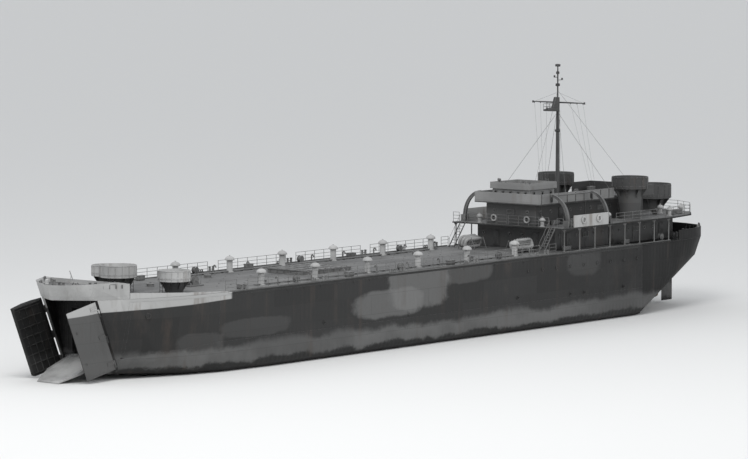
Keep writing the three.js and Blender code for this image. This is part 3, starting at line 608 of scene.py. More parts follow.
def steel_door():
    """A watertight door with its frame, dished leaf, dogs, hinges and grab."""
    def build(bm):
        add_box(bm, (-0.041, 0.012, -0.002), (0.041, 0.186, 0.004), 0.002)
        add_box(bm, (-0.034, 0.019, 0.0), (0.034, 0.179, 0.009), 0.0045, segments=3)
        add_box(bm, (-0.024, 0.03, 0.006), (0.024, 0.168, 0.0105), 0.002)
        for height in (0.04, 0.099, 0.158):
            add_rod(bm, (0.03, height, 0.006), (0.03, height, 0.013), 0.003, 8)
            add_rod(bm, (0.03, height, 0.012), (0.016, height + 0.007, 0.012), 0.0018, 6)
            add_rod(bm, (-0.038, height - 0.009, 0.006), (-0.038, height + 0.009, 0.006), 0.0035, 8)
            add_box(bm, (-0.038, height - 0.004, 0.006), (-0.02, height + 0.004, 0.0115), 0.001)
        grab = [(0.006, 0.085, 0.009), (0.006, 0.085, 0.016), (0.006, 0.115, 0.016), (0.006, 0.115, 0.009)]
        pipe(bm, grab, 0.0016, 6)
    return unit(build)


def louvre():
    """A framed air intake with sloping blades."""
    def build(bm):
        for left, low, right, high in ((-0.05, 0, 0.05, 0.004), (-0.05, 0.046, 0.05, 0.05),
                                       (-0.05, 0.004, -0.046, 0.046), (0.046, 0.004, 0.05, 0.046)):
            add_box(bm, (left, low, 0), (right, high, 0.008))
        tilt = Matrix.Rotation(0.7, 3, "X").to_quaternion()
        for i in range(6):
            middle = 0.009 + 0.0065 * i
            add_box(bm, (-0.046, middle - 0.0008, 0.0), (0.046, middle + 0.0008, 0.008), turn=tilt)
    return unit(build)


def locker():
    """A deck locker on feet with a lipped lid, hasps and hinges."""
    def build(bm):
        add_box(bm, (-0.05, -0.022, 0.006), (0.05, 0.022, 0.044), 0.002)
        add_box(bm, (-0.0525, -0.0245, 0.043), (0.0525, 0.0245, 0.0505), 0.002)
        for x in (-0.04, 0.04):
            add_box(bm, (x - 0.004, -0.02, 0), (x + 0.004, 0.02, 0.007))
        for x in (-0.03, 0.03):
            add_box(bm, (x - 0.003, -0.0265, 0.032), (x + 0.003, -0.0215, 0.046), 0.0008)
            add_rod(bm, (x - 0.006, 0.025, 0.045), (x + 0.006, 0.025, 0.045), 0.0022, 6)
        handle = [(0.052, -0.01, 0.026), (0.057, -0.01, 0.026), (0.057, 0.01, 0.026), (0.052, 0.01, 0.026)]
        pipe(bm, handle, 0.0012, 6)
    return unit(build)


def lifebuoy():
    """A ring buoy on two hooks, flat to its wall."""
    def build(bm):
        stamp(bm, ring_of(0.031, 0.0085, 24, 10), Matrix.Translation((0, 0, 0.011)))
        for turn in range(4):
            angle = math.pi / 4 + turn * math.pi / 2
            x, y = 0.031 * math.cos(angle), 0.031 * math.sin(angle)
            band = Matrix.Translation((x, y, 0.011)) @ Matrix.Rotation(angle + math.pi / 2, 4, "Z")
            stamp(bm, ring_of(0.0085, 0.0012, 12, 6), band @ Matrix.Rotation(math.pi / 2, 4, "Y"))
        for x in (-0.018, 0.018):
            add_rod(bm, (x, -0.03, -0.002), (x, -0.03, 0.022), 0.0018, 6)
    return unit(build)


def hose_reel():
    """A fire hose wound on a reel between two cheeks, its axle along y."""
    def build(bm):
        turns = [(0.0, -0.02), (0.034, -0.02), (0.034, -0.0175), (0.012, -0.017)]
        for i in range(5):
            turns += [(0.024, -0.0155 + 0.0066 * i), (0.0275, -0.0122 + 0.0066 * i)]
        turns += [(0.012, 0.017), (0.034, 0.0175), (0.034, 0.02), (0.0, 0.02)]
        stamp(bm, lathe(turns, 20), move(0, 0, 0.042, turn_x=math.pi / 2))
        for y in (-0.024, 0.024):
            add_box(bm, (-0.005, y - 0.0015, 0), (0.005, y + 0.0015, 0.05), 0.001)
        add_rod(bm, (0, -0.028, 0.042), (0, 0.028, 0.042), 0.004, 8)
        add_box(bm, (-0.02, -0.028, 0), (0.02, 0.028, 0.004), 0.001)
    return unit(build)


def mushroom_head(top=0.16, stem=0.03, head=0.05):
    """A ventilator: flanged stem with rivets, rounded head with a rolled lip, and its hand wheel."""
    profile = [(0, 0), (stem + 0.011, 0), (stem + 0.011, 0.005), (stem + 0.001, 0.007), (stem, 0.012),
               (stem, top - 0.045), (stem + 0.004, top - 0.04), (head - 0.003, top - 0.04),
               (head, top - 0.037), (head, top - 0.031), (head - 0.006, top - 0.018),
               (head - 0.019, top - 0.006), (head - 0.034, top), (0, top + 0.001)]

    def build(bm):
        stamp(bm, lathe(profile, 28), Matrix())
        for i in range(8):
            angle = i * math.pi / 4 + 0.3
            x, y = (stem + 0.0075) * math.cos(angle), (stem + 0.0075) * math.sin(angle)
            add_rod(bm, (x, y, 0.004), (x, y, 0.0075), 0.0018, 6)
        stamp(bm, ring_of(0.009, 0.0012, 12, 6), Matrix.Translation((0, 0, top + 0.007)))
        add_rod(bm, (0, 0, top), (0, 0, top + 0.008), 0.0022, 6)
        add_rod(bm, (-0.009, 0, top + 0.007), (0.009, 0, top + 0.007), 0.001, 6)
        add_rod(bm, (0, -0.009, top + 0.007), (0, 0.009, top + 0.007), 0.001, 6)
    return unit(build)


def gooseneck():
    """A bent vent pipe with a flapped mouth."""
    def build(bm):
        bends = [(0, 0, 0), (0, 0, 0.06), (0.004, 0, 0.07), (0.014, 0, 0.075), (0.024, 0, 0.07),
                 (0.028, 0, 0.058)]
        pipe(bm, bends, 0.007, 10)
        add_rod(bm, (0, 0, 0), (0, 0, 0.003), 0.013, 10)
        add_rod(bm, (0.028, 0, 0.06), (0.028, 0, 0.053), 0.009, 10)
    return unit(build)


def escape_scuttle():
    """A round hatch with a raised coaming, a hinged lid and a hand wheel."""
    def build(bm):
        lid = [(0, 0), (0.036, 0), (0.036, 0.018), (0.039, 0.019), (0.039, 0.025), (0.034, 0.028),
               (0, 0.031)]
        stamp(bm, lathe(lid, 24), Matrix())
        stamp(bm, ring_of(0.014, 0.0018, 16, 6), Matrix.Translation((0, 0, 0.037)))
        add_rod(bm, (0, 0, 0.03), (0, 0, 0.038), 0.003, 8)
        for angle in (0, math.pi / 2):
            x, y = 0.014 * math.cos(angle), 0.014 * math.sin(angle)
            add_rod(bm, (-x, -y, 0.037), (x, y, 0.037), 0.0012, 6)
        add_box(bm, (-0.05, -0.009, 0.012), (-0.03, 0.009, 0.024), 0.002)
    return unit(build)


def lashing_ring():
    """A low socket with a crossbar, sunk in the deck for lashings."""
    def build(bm):
        add_rod(bm, (0, 0, -0.001), (0, 0, 0.0022), 0.0105, 10, 0.009)
        add_box(bm, (-0.011, -0.0016, 0.001), (0.011, 0.0016, 0.0042))
    return unit(build)


def bitts():
    """A pair of mooring posts with lipped heads on a bevelled plate."""
    def build(bm):
        add_box(bm, (-0.05, -0.016, 0), (0.05, 0.016, 0.006), 0.002)
        post = lathe([(0, 0), (0.0155, 0.004), (0.0125, 0.009), (0.0115, 0.038), (0.0148, 0.042),
                      (0.0148, 0.046), (0.011, 0.05), (0, 0.051)], 20)
        for x in (-0.026, 0.026):
            stamp(bm, post, Matrix.Translation((x, 0, 0.004)))
        add_rod(bm, (-0.026, 0, 0.024), (0.026, 0, 0.024), 0.0035, 8)
    return unit(build)


def fairlead():
    """An open chock with two rounded horns and a roller."""
    def build(bm):
        add_box(bm, (-0.032, -0.011, 0), (0.032, 0.011, 0.005), 0.0015)
        for side in (-1, 1):
            horn = [(side * 0.026, 0, 0.002), (side * 0.026, 0, 0.016), (side * 0.015, 0, 0.024)]
            pipe(bm, horn, 0.006, 10)
        roller = lathe([(0, 0), (0.008, 0), (0.0055, 0.006), (0.0055, 0.01), (0.008, 0.016), (0, 0.016)],
                       16)
        stamp(bm, roller, Matrix.Translation((0, 0, 0.004)))
    return unit(build)


def signal_lamp():
    """A shuttered lamp in a yoke on a pedestal, facing +X."""
    def build(bm):
        post = [(0, 0), (0.02, 0), (0.018, 0.004), (0.007, 0.01), (0.006, 0.075), (0.012, 0.08), (0, 0.084)]
        stamp(bm, lathe(post, 16), Matrix())
        drum = [(0, -0.022), (0.012, -0.022), (0.019, -0.012), (0.021, 0.014), (0.023, 0.016),
                (0.023, 0.02), (0.019, 0.021), (0.018, 0.017), (0, 0.017)]
        stamp(bm, lathe(drum, 20), move(0, 0, 0.105, turn_y=math.pi / 2))
        for y in (-0.025, 0.025):
            add_box(bm, (-0.004, y - 0.0015, 0.079), (0.004, y + 0.0015, 0.108), 0.0008)
        add_box(bm, (-0.004, -0.026, 0.077), (0.004, 0.026, 0.081), 0.0008)
        for i in range(5):
            add_box(bm, (0.0165, -0.017, 0.0925 + 0.0062 * i), (0.0175, 0.017, 0.0955 + 0.0062 * i))
    return unit(build)


def compass_stand():
    """A binnacle: turned column, hood and two side spheres."""
    def build(bm):
        column = [(0, 0), (0.019, 0), (0.019, 0.005), (0.013, 0.01), (0.012, 0.06), (0.017, 0.068),
                  (0.018, 0.082), (0.014, 0.094), (0.006, 0.1), (0, 0.101)]
        stamp(bm, lathe(column, 24), Matrix())
        for y in (-0.025, 0.025):
            add_ball(bm, (0, y, 0.074), 0.0075, 12)
            add_rod(bm, (0, 0, 0.07), (0, y, 0.074), 0.002, 6)
    return unit(build)


def add_rungs(bm, foot, head, half, outward, spacing=0.03):
    """An upright ladder of two stiles and round rungs, held off its wall."""
    foot, head = Vector(foot), Vector(head)
    across = (head - foot).cross(Vector(outward)).normalized() * half
    for side in (-1, 1):
        add_rod(bm, foot + across * side, head + across * side, 0.0022, 6)
    count = int((head - foot).length / spacing)
    for i in range(count):
        middle = foot.lerp(head, (i + 0.5) / count)
        add_rod(bm, middle - across, middle + across, 0.0016, 6)


def add_stair(bm, foot, head, half, steps):
    """A sloping ladder with flat stiles, treads and hand rails on both sides."""
    foot, head = Vector(foot), Vector(head)
    run = head - foot
    across = UP.cross(run).normalized() * half
    slope = run.to_track_quat("X", "Z")
    for side in (-1, 1):
        middle = (foot + head) / 2 + across * side
        size = Vector((run.length, 0.003, 0.014))
        bmesh.ops.create_cube(bm, size=1.0, matrix=Matrix.LocRotScale(middle, slope, size))
        rise = Vector((0, 0, 0.085))
        for share in (0.06, 0.5, 0.97):
            base = foot.lerp(head, share) + across * side
            add_rod(bm, base, base + rise, 0.0019, 6)
        add_rod(bm, foot + across * side + rise, head + across * side + rise, 0.0019, 6)
    flat = Vector((run.x, run.y, 0)).to_track_quat("X", "Z")
    for i in range(steps):
        middle = foot.lerp(head, (i + 0.6) / steps)
        size = Vector((0.02, 2 * half, 0.0025))
        bmesh.ops.create_cube(bm, size=1.0, matrix=Matrix.LocRotScale(middle, flat, size))


def rail_run(bm, points, heights=(0.035, 0.07, 0.105), spacing=0.15, radius=0.0021):
    """Stanchions and three rails along a line of foot points."""
    for start, end in zip(points, points[1:]):
        start, end = Vector(start), Vector(end)
        count = max(1, round((end - start).length / spacing))
        for i in range(count + 1):
            foot = start.lerp(end, i / count)
            add_rod(bm, foot, foot + Vector((0, 0, heights[-1] + 0.002)), radius * 1.3, 6)
        for height in heights:
            rise = Vector((0, 0, height))
            add_rod(bm, start + rise, end + rise, radius, 6)


# Hull and decks
def make_hull():
    """Plating over the frame's hull, bulwarks, skegs and main deck."""
    dress("hull_bottom", HULL, "bottom_plating", wide=0.05)
    dress("hull_stern", HULL, "stern_plating", bend=50)
    for side, _ in SIDES:
        dress(f"hull_side_{side}", HULL, f"side_plating_{side}", wide=0.08)
        dress(f"hull_shoulder_{side}", HULL, f"shoulder_plating_{side}", wide=0.14)
        dress(f"bow_cheek_{side}", HULL, f"cheek_plating_{side}", wide=0.08)
        dress(f"skeg_{side}", HULL, f"skeg_plating_{side}")
        dress(f"bow_bulwark_{side}", HULL, f"bow_bulwark_plating_{side}", bevel=0.001)
    for node in ("main_deck_aft", "main_deck_hatch_bay", "main_deck_fore"):
        dress(node, PLATES, node + "_plating")
    dress("stern_bulwark", HULL, "stern_bulwark_plating", bevel=0.001)


def make_side_fittings():
    """Edge bars, scuppers, portholes, outlets and hawse pipes along the sides."""
    rim, pane, brow = port_rim(), port_pane(), port_brow()
    hawse = lathe([(0.016, -0.012), (0.03, -0.012), (0.031, 0.002), (0.026, 0.009), (0.019, 0.009),
                   (0.016, 0.003)], 24, closed=True)
    plug = unit(lambda bm: add_rod(bm, (0, 0, -0.012), (0, 0, 0.002), 0.0165, 20))
    outlet = lathe([(0.011, -0.006), (0.017, -0.006), (0.017, 0.006), (0.0145, 0.008), (0.011, 0.006)],
                   16, closed=True)
    spill = unit(lambda bm: add_box(bm, (-0.012, -0.006, -0.003), (0.012, 0.006, 0.003), 0.0015))
    for side, sign in SIDES:
        bars, rims, panes = bmesh.new(), bmesh.new(), bmesh.new()
        stations = [at(-4.86 + 0.17 * i) for i in range(49)]
        points = []
        for x in stations:
            point, outward = on_side(x, DECK - 0.006, sign)
            points.append(point + outward * 0.001)
        pipe(bars, points, 0.005, 8)
        for i in range(26):
            x = at(-3.3 + 0.25 * i)
            stamp(bars, spill, on_wall(*on_side(x, DECK - 0.045, sign)))
        for x, z in ((-2.1, 0.33), (-2.35, 0.33), (-1.2, 0.36), (0.6, 0.34), (1.9, 0.36), (-3.05, 0.34)):
            stamp(bars, outlet, on_wall(*on_side(at(x), z, sign)))
        settle(bars, f"deck_edge_bar_{side}", HULL)
        for i in range(9):
            place = on_wall(*on_side(at(-3.3 + 0.24 * i), 0.62, sign))
            stamp(rims, rim, place)
            stamp(rims, brow, place)
            stamp(panes, pane, place)
        place = on_wall(*on_side(at(4.2), 0.6, sign))
        stamp(rims, hawse, place)
        stamp(panes, plug, place)
        settle(rims, f"side_port_rims_{side}", HULL)
        settle(panes, f"side_port_glass_{side}", GLASS)


def make_hall():
    """Frames, beams, lashing rails and lamps that show inside the tank deck through the open bow."""
    frames, lamps = bmesh.new(), bmesh.new()
    for i in range(34):
        x = at(-3.3 + 0.2 * i)
        for _, sign in SIDES:
            add_side_box(frames, sign, (x - 0.004, HALL_HALF - 0.018, HALL_FLOOR),
                         (x + 0.004, HALL_HALF + 0.002, HALL_HEAD))
        add_box(frames, (x - 0.004, -HALL_HALF, HALL_HEAD - 0.022),
                (x + 0.004, HALL_HALF, HALL_HEAD + 0.002))
    for _, sign in SIDES:
        for z in (0.42, 0.56):
            y = sign * (HALL_HALF - 0.012)
            add_box(frames, (at(-3.38), y - 0.004, z - 0.003), (at(3.38), y + 0.004, z + 0.003))
        y = sign * (HALL_HALF - 0.03)
        pipe(frames, [(at(-3.38), y, 0.69), (at(3.36), y, 0.69)], 0.006)
    for i in range(14):
        x = at(-2.9 + 0.45 * i)
        for y in (-0.22, 0.22):
            add_ball(lamps, (x, y, HALL_HEAD - 0.024), 0.011, 10, (1, 1, 0.6))
    for y in (-0.225, 0.225):
        add_box(frames, (at(-3.38), y - 0.005, HALL_HEAD - 0.03), (at(3.38), y + 0.005, HALL_HEAD + 0.001))
    stamp(frames, steel_door(), on_wall((at(-3.4), 0.2, HALL_FLOOR), (1, 0, 0)))
    settle(frames, "hall_frames", HOUSE)
    settle(lamps, "hall_lamps", LINEN)

    strips = bmesh.new()
    ring = lashing_ring()
    for row in range(5):
        y = -0.32 + 0.16 * row
        add_box(strips, (at(-3.35), y - 0.006, HALL_FLOOR - 0.001),
                (at(3.38), y + 0.006, HALL_FLOOR + 0.004))
        for i in range(20):
            stamp(strips, ring, move(at(-3.2 + 0.34 * i), y + 0.08 * (row < 4), HALL_FLOOR))
    settle(strips, "hall_floor_strips", GEAR)


def make_deck_plan():
    """Lashing sockets, scuttles, goosenecks, hose reels and lockers on the main deck."""
    sockets, fittings = bmesh.new(), bmesh.new()
    ring, scuttle, neck, reel, box = lashing_ring(), escape_scuttle(), gooseneck(), hose_reel(), locker()
    for i in range(23):
        for y in (-0.45, -0.3, -0.15, 0.0, 0.15, 0.3, 0.45):
            x = -1.45 + 0.2 * i
            # None in the hatch or under the deck winch
            if 0.85 < x < 1.62 and abs(y) < 0.28 or x > 2.9 and abs(y) < 0.16:
                continue
            stamp(sockets, ring, move(at(x), y, DECK))
    settle(sockets, "deck_lashing_sockets", GEAR)
    for x, y in ((-0.9, 0.36), (-0.9, -0.36), (2.35, 0.36), (2.35, -0.36), (3.35, 0.2), (3.35, -0.2)):
        stamp(fittings, scuttle, move(at(x), y, DECK))
    for _, sign in SIDES:
        for i in range(9):
            stamp(fittings, neck, move(at(-1.55 + 0.5 * i), sign * 0.64, DECK, turn_z=-sign * math.pi / 2))
        for x in (-1.0, 0.6, 2.2):
            stamp(fittings, reel, move(at(x), sign * 0.66, DECK))
        for x in (-0.2, 1.4, 3.0):
            stamp(fittings, box, move(at(x), sign * 0.66, DECK, turn_z=math.pi * (sign < 0)))
    settle(fittings, "deck_scuttles_and_vents", GEAR)


def make_rails():
    """Rails along the main deck, open at the bollards, and round the boat deck."""
    for side, sign in SIDES:
        bm = bmesh.new()
        rail, high_rail = sign * DECK_RAIL, sign * BOAT_RAIL
        ends = [at(-1.62 + 1.19 * i) for i in range(5)]
        for start in [at(-1.9)] + ends[:-1]:
            end = start + (1.03 if start > at(-1.8) else 0.12)
            rail_run(bm, [(start, rail, DECK), (end, rail, DECK)])
        rail_run(bm, [(at(3.14), rail, DECK), (at(BULWARK_AFT), rail, DECK)])
        rail_run(bm, [(at(-2.95), high_rail, BOAT_TOP), (at(-4.0), high_rail, BOAT_TOP),
                      (at(-4.44), sign * 0.65, BOAT_TOP), (at(-4.69), sign * 0.47, BOAT_TOP),
                      (at(-4.845), sign * 0.2, BOAT_TOP), (at(-4.85), 0, BOAT_TOP)])
        front = at(BOAT_DECK_FRONT)
        rail_run(bm, [(front, high_rail, BOAT_TOP), (front, sign * 0.655, BOAT_TOP)], spacing=0.08)
        rail_run(bm, [(front, sign * 0.545, BOAT_TOP), (front, sign * 0.01, BOAT_TOP)])
        settle(bm, f"guard_rails_{side}", GEAR)


def make_stairs():
    """Stairs to the boat deck and the bridge, and a ladder to the conning position."""
    bm = bmesh.new()
    for _, sign in SIDES:
        add_stair(bm, (at(-1.8), sign * 0.6, DECK), (at(-2.0), sign * 0.6, BOAT_TOP), 0.034, 9)
    add_stair(bm, (at(-4.3), 0, BOAT_TOP), (at(-4.06), 0, BRIDGE_TOP), 0.034, 9)
    add_rungs(bm, (at(-2.535), 0.12, BRIDGE_TOP), (at(-2.535), 0.12, 1.5), 0.02, (-1, 0, 0))
    settle(bm, "stairs_and_ladders", GEAR)


# Bow doors, ramp and cap
def door_place(sign):
    """Takes a door's own along, inward and up to where the open door stands."""
    reach = 0.22
    length = math.hypot(reach, DOOR_HINGE_HALF)
    along, across = reach / length, DOOR_HINGE_HALF / length
    x, y = at(DOOR_HINGE), sign * DOOR_HINGE_HALF
    closed = Matrix(((along, -across, RAKE, x), (-sign * across, -sign * along, 0, y),
                     (0, 0, 1, 0), (0, 0, 0, 1)))
    hinge = Matrix.Translation((x, y, 0)) @ Matrix.Rotation(math.atan(RAKE), 4, "Y")
    return hinge @ Matrix.Rotation(sign * DOOR_OPEN, 4, "Z") @ hinge.inverted() @ closed


def make_doors():
    """The bow doors: framed inside, with strap hinges and lifting eyes outside."""
    for side, sign in SIDES:
        node = f"bow_door_{side}"
        dress(node, HULL, f"{node}_plating", bevel=0.003, wide=0.02, bend=34, body=node)
        place = door_place(sign)
        ribs, straps = bmesh.new(), bmesh.new()
        shelf = [(0.045, 0.018), (0.2067, 0.01), (0.389, 0.021), (0.387, 0.0305), (0.047, 0.0305)]
        for i in range(8):
            outline_solid(ribs, shelf, 0.004, place @ Matrix.Translation((0, 0, 0.125 + 0.086 * i)))
        for along in (0.09, 0.17, 0.25, 0.33):
            post = [(along - 0.003, 0.01), (along + 0.003, 0.01), (along + 0.003, 0.0295),
                    (along - 0.003, 0.0295)]
            outline_solid(ribs, post, 0.602, place @ Matrix.Translation((0, 0, 0.127)))
        for low in (0.104, 0.748):
            edge = [(0.03, 0.016), (0.06, 0.0245), (0.39, 0.0245), (0.39, 0.0305), (0.055, 0.0305),
                    (0.025, 0.02)]
            outline_solid(ribs, edge, 0.008, place @ Matrix.Translation((0, 0, low)))
        settle(ribs, f"{node}_frames", HULL, node)
        strap = [(0.012, 0.0), (0.11, -0.0115), (0.11, -0.0165), (0.012, -0.005)]
        for height in (0.155, 0.415, 0.685):
            outline_solid(straps, strap, 0.03, place @ Matrix.Translation((0, 0, height)))
            for along in (0.03, 0.055, 0.08, 0.1):
                foot = place @ Vector((along, -along * 0.12 - 0.004, height + 0.015))
                tip = place @ Vector((along, -along * 0.12 - 0.0075, height + 0.015))
                add_rod(straps, foot, tip, 0.003, 8)
        for height in (0.25, 0.55):
            stamp(straps, ring_of(0.008, 0.0022, 14, 6),
                  place @ move(0.36, -0.01, height, turn_y=math.pi / 2))
        settle(straps, f"{node}_straps", HULL, node)


def make_ramp():
    """The ramp's plating, then its treads, curbs and lifting eyes, drawn flat and laid in its hinge."""
    dress("bow_ramp", RAMP_STEEL, "bow_ramp_plating", bevel=0.002, body="bow_ramp")
    place = move(at(RAMP_HINGE), 0, RAMP_HINGE_UP, turn_y=RAMP_DROP)

    def build(bm):
        for i in range(23):
            x = 0.03 + 0.023 * i
            half = 0.203 - max(0.0, x - 0.355) * 0.357
            top = 0.008 - max(0.0, x - 0.495) * 0.0775
            add_box(bm, (x - 0.003, -half, top - 0.002), (x + 0.003, half, top + 0.003))
        for y in (-0.209, 0.209):
            add_box(bm, (0.02, y - 0.003, 0.0), (0.352, y + 0.003, 0.016), 0.001)
            add_box(bm, (0.04, y * 0.8 - 0.012, 0.0), (0.47, y * 0.8 + 0.012, 0.0105), 0.001)
        for y in (-0.13, 0.13):
            stamp(bm, ring_of(0.009, 0.0022, 14, 6), move(0.5, y, 0.009, turn_x=math.pi / 2))
        for y in (-0.15, -0.05, 0.05, 0.15):
            add_rod(bm, (0, y - 0.02, 0), (0, y + 0.02, 0), 0.012, 16)

    bm = bmesh.new()
    stamp(bm, unit(build), place)
    settle(bm, "bow_ramp_treads", RAMP_STEEL, "bow_ramp")


def make_portal():
    """The portal's rim, stiffeners and knees, and the bow cap with its deck and fittings."""
    dress("bow_portal", HULL, "portal_frame")
    bm = bmesh.new()
    front = at(PORTAL)
    for _, sign in SIDES:
        for near, far, low, high in ((0.235, 0.247, 0.216, 0.652), (0.29, 0.295, 0.24, 0.725),
                                     (0.34, 0.345, 0.26, 0.725), (0.39, 0.395, 0.4, 0.725)):
            add_side_box(bm, sign, (front - 0.002, near, low), (front + 0.007, far, high))
    add_box(bm, (front - 0.002, -0.247, 0.64), (front + 0.007, 0.247, 0.652))
    for y in (-0.18, -0.09, 0.0, 0.09, 0.18):
        add_box(bm, (front - 0.002, y - 0.0025, 0.652), (front + 0.007, y + 0.0025, 0.725))
    settle(bm, "portal_stiffeners", HULL)

    dress("bow_cap", PALE, "bow_cap_plating", bevel=0.004, wide=0.03)
    bm = bmesh.new()
    lean = RAKE * (0.872 - DECK)
    foot = DOOR_HINGE + RAKE * DECK
    half = [(4.402, 0.494), (4.482 + lean * 0.4, 0.459), (foot + lean, 0.339), (foot + 0.134 + lean, 0.15),
            (foot + 0.207 + lean, 0.011)]
    outline = [(at(x), y) for x, y in half] + [(at(x), -y) for x, y in reversed(half)]
    outline_solid(bm, outline, 0.0025, Matrix.Translation((0, 0, 0.8712)))
    settle(bm, "bow_cap_deck", PLATES)

    fittings, pale = bmesh.new(), bmesh.new()
    post, chock = bitts(), fairlead()
    cap_deck, cap_rim = 0.8735, 0.911
    for _, sign in SIDES:
        stamp(fittings, post, move(at(4.62), sign * 0.25, cap_deck, turn_z=-sign * 0.9))
        stamp(fittings, chock, move(at(4.55), sign * 0.44, cap_rim, turn_z=-sign * 0.55))
        stamp(fittings, chock, move(at(4.82), sign * 0.22, cap_rim, turn_z=-sign * 0.9))
        for i in range(7):
            x = at(4.42 + 0.055 * i)
            reach = 0.494 - 0.16 * max(0.0, i - 1.2) / 5
            add_side_box(fittings, sign, (x - 0.0015, reach - 0.014, 0.873), (x + 0.0015, reach, 0.908))
    stamp(fittings, post, move(at(4.78), 0, cap_deck, turn_z=math.pi / 2))
    # Foot angle that closes the joint between the deck and the cap's after wall
    add_box(fittings, (at(4.379), -0.5, DECK - 0.0005), (at(4.3915), 0.5, DECK + 0.005), 0.001)
    pipe(pale, [(at(4.5), -0.1, 0.873), (at(4.565), -0.1, 1.01)], 0.004)
    pipe(pale, [(at(4.545), -0.13, 0.873), (at(4.545), -0.1, 0.965), (at(4.545), -0.07, 0.873)], 0.0018, 6)
    lamp = lathe([(0, 0), (0.018, 0), (0.019, 0.006), (0.016, 0.012), (0.0175, 0.02), (0.0165, 0.034),
                  (0.0185, 0.04), (0.01, 0.047), (0, 0.048)], 20)
    stamp(pale, lamp, move(at(4.9), -0.07, 0.91))
    settle(fittings, "bow_cap_fittings", GEAR)
    settle(pale, "bow_lamp_and_staff", PALE)

    # Knees behind the bulwarks
    bm = bmesh.new()
    for _, sign in SIDES:
        for i in range(13):
            x = at(3.36 + 0.082 * i)
            point, outward = on_side(x, DECK + 0.006, sign)
            inner = point - outward * 0.01
            high = 0.012 + 0.046 * (x - at(BULWARK_AFT))
            place = Matrix.Translation((inner.x, inner.y, DECK)) @ axes(outward.cross(UP), -outward, UP)
            outline_solid(bm, [(0, 0), (-high, 0), (0, 0.022)], 0.003,
                          place @ Matrix.Rotation(math.pi / 2, 4, "Y"))
    settle(bm, "bulwark_knees", HULL)


# Splinter shields, all empty. Columns: node, floor height, number of lockers inside, paint. The shields aft
# take the dark house paint as painted shade for their backlit sides.
TUBS = (("tub_bow_centre", 0.915, 5, PALE), ("tub_bow_port", 0.88, 4, PALE),
        ("tub_bow_starboard", 0.88, 4, PALE), ("tub_side_port", 1.35, 6, HOUSE),
        ("tub_side_starboard", 1.35, 6, HOUSE), ("tub_stern", 1.16, 7, HOUSE))


def make_tubs():
    """Each shield on its splayed stand, with a ladder, lockers and a bare bolt ring."""
    gear, box = bmesh.new(), locker()
    for node, floor, lockers, paint in TUBS:
        low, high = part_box(node)
        radius = (high.x - low.x) / 2
        foot, top = low.z, high.z
        place = Matrix.Translation(((low.x + high.x) / 2, (low.y + high.y) / 2, 0))
        bm = bmesh.new()
        shell = [(0, floor), (radius - 0.004, floor), (radius, floor + 0.004), (radius, top - 0.006),
                 (radius + 0.003, top - 0.0045), (radius + 0.0038, top - 0.002), (radius + 0.002, top),
                 (radius - 0.005, top), (radius - 0.006, top - 0.003), (radius - 0.006, floor + 0.012),
                 (radius - 0.01, floor + 0.0095), (0, floor + 0.0095)]
        stamp(bm, lathe(shell, 64), place)
        rib = unit(lambda part: add_box(part, (radius - 0.001, -0.002, floor + 0.004),
                                        (radius + 0.005, 0.002, top - 0.01), 0.0008, segments=1))
        for i in range(16):
            stamp(bm, rib, place @ Matrix.Rotation(math.pi * (2 * i + 1) / 16, 4, "Z"))
        belt = [(radius - 0.001, floor + 0.03), (radius + 0.004, floor + 0.03),
                (radius + 0.004, floor + 0.034), (radius - 0.001, floor + 0.034)]
        stamp(bm, lathe(belt, 64, closed=True), place)
        # Painted shade: the shields aft get the dark house paint for their backlit sides
        settle(bm, f"{node}_shield", paint, replaces=(node,))

        bm = bmesh.new()
        waist, neck = radius * 0.55, radius * 0.68
        stand = [(0, foot), (waist + 0.016, foot), (waist + 0.016, foot + 0.005),
                 (waist + 0.002, foot + 0.007), (waist, foot + 0.012), (neck, floor - 0.012),
                 (neck + 0.012, floor - 0.004), (neck + 0.012, floor + 0.001), (0, floor + 0.001)]
        stamp(bm, lathe(stand, 48), place)
        deep = min(0.11, (floor - foot) * 0.7)
        for i in range(8):
            turn = place @ Matrix.Rotation(math.pi * (i + 0.5) / 4, 4, "Z")
            gusset = turn @ move(0, 0.002, floor, turn_x=math.pi / 2)
            outline_solid(bm, [(neck - 0.03, 0), (radius * 0.94, 0), (radius * 0.94, -0.006),
                               (neck - 0.012, -deep)], 0.004, gusset)
        inward = -1 if node.endswith("_port") else 1
        angle = {"tub_bow_centre": math.pi, "tub_stern": 0}.get(node, inward * math.pi / 2)
        out = Vector((math.cos(angle), math.sin(angle), 0))
        base = place.translation + out * (radius + 0.012)
        add_rungs(bm, base + Vector((0, 0, foot)), base + Vector((0, 0, top)), 0.019, out)
        settle(bm, f"{node}_stand", HOUSE)

        ring = [(0.045, 0), (0.058, 0), (0.058, 0.005), (0.052, 0.009), (0.045, 0.009)]
        stamp(gear, lathe(ring, 32, closed=True), place @ Matrix.Translation((0, 0, floor + 0.0095)))
        bolt = unit(lambda part: add_rod(part, (0.0515, 0, 0.008), (0.0515, 0, 0.012), 0.0022, 6))
        for i in range(12):
            stamp(gear, bolt, place @ move(0, 0, floor + 0.0095, turn_z=math.pi * i / 6))
        for i in range(lockers):
            around = angle + math.pi + (i - (lockers - 1) / 2) * 0.62
            spot = move(radius - 0.033, 0, floor + 0.009, turn_z=-math.pi / 2, scale=0.86)
            stamp(gear, box, place @ Matrix.Rotation(around, 4, "Z") @ spot)
    settle(gear, "shield_rings_and_lockers", GEAR)


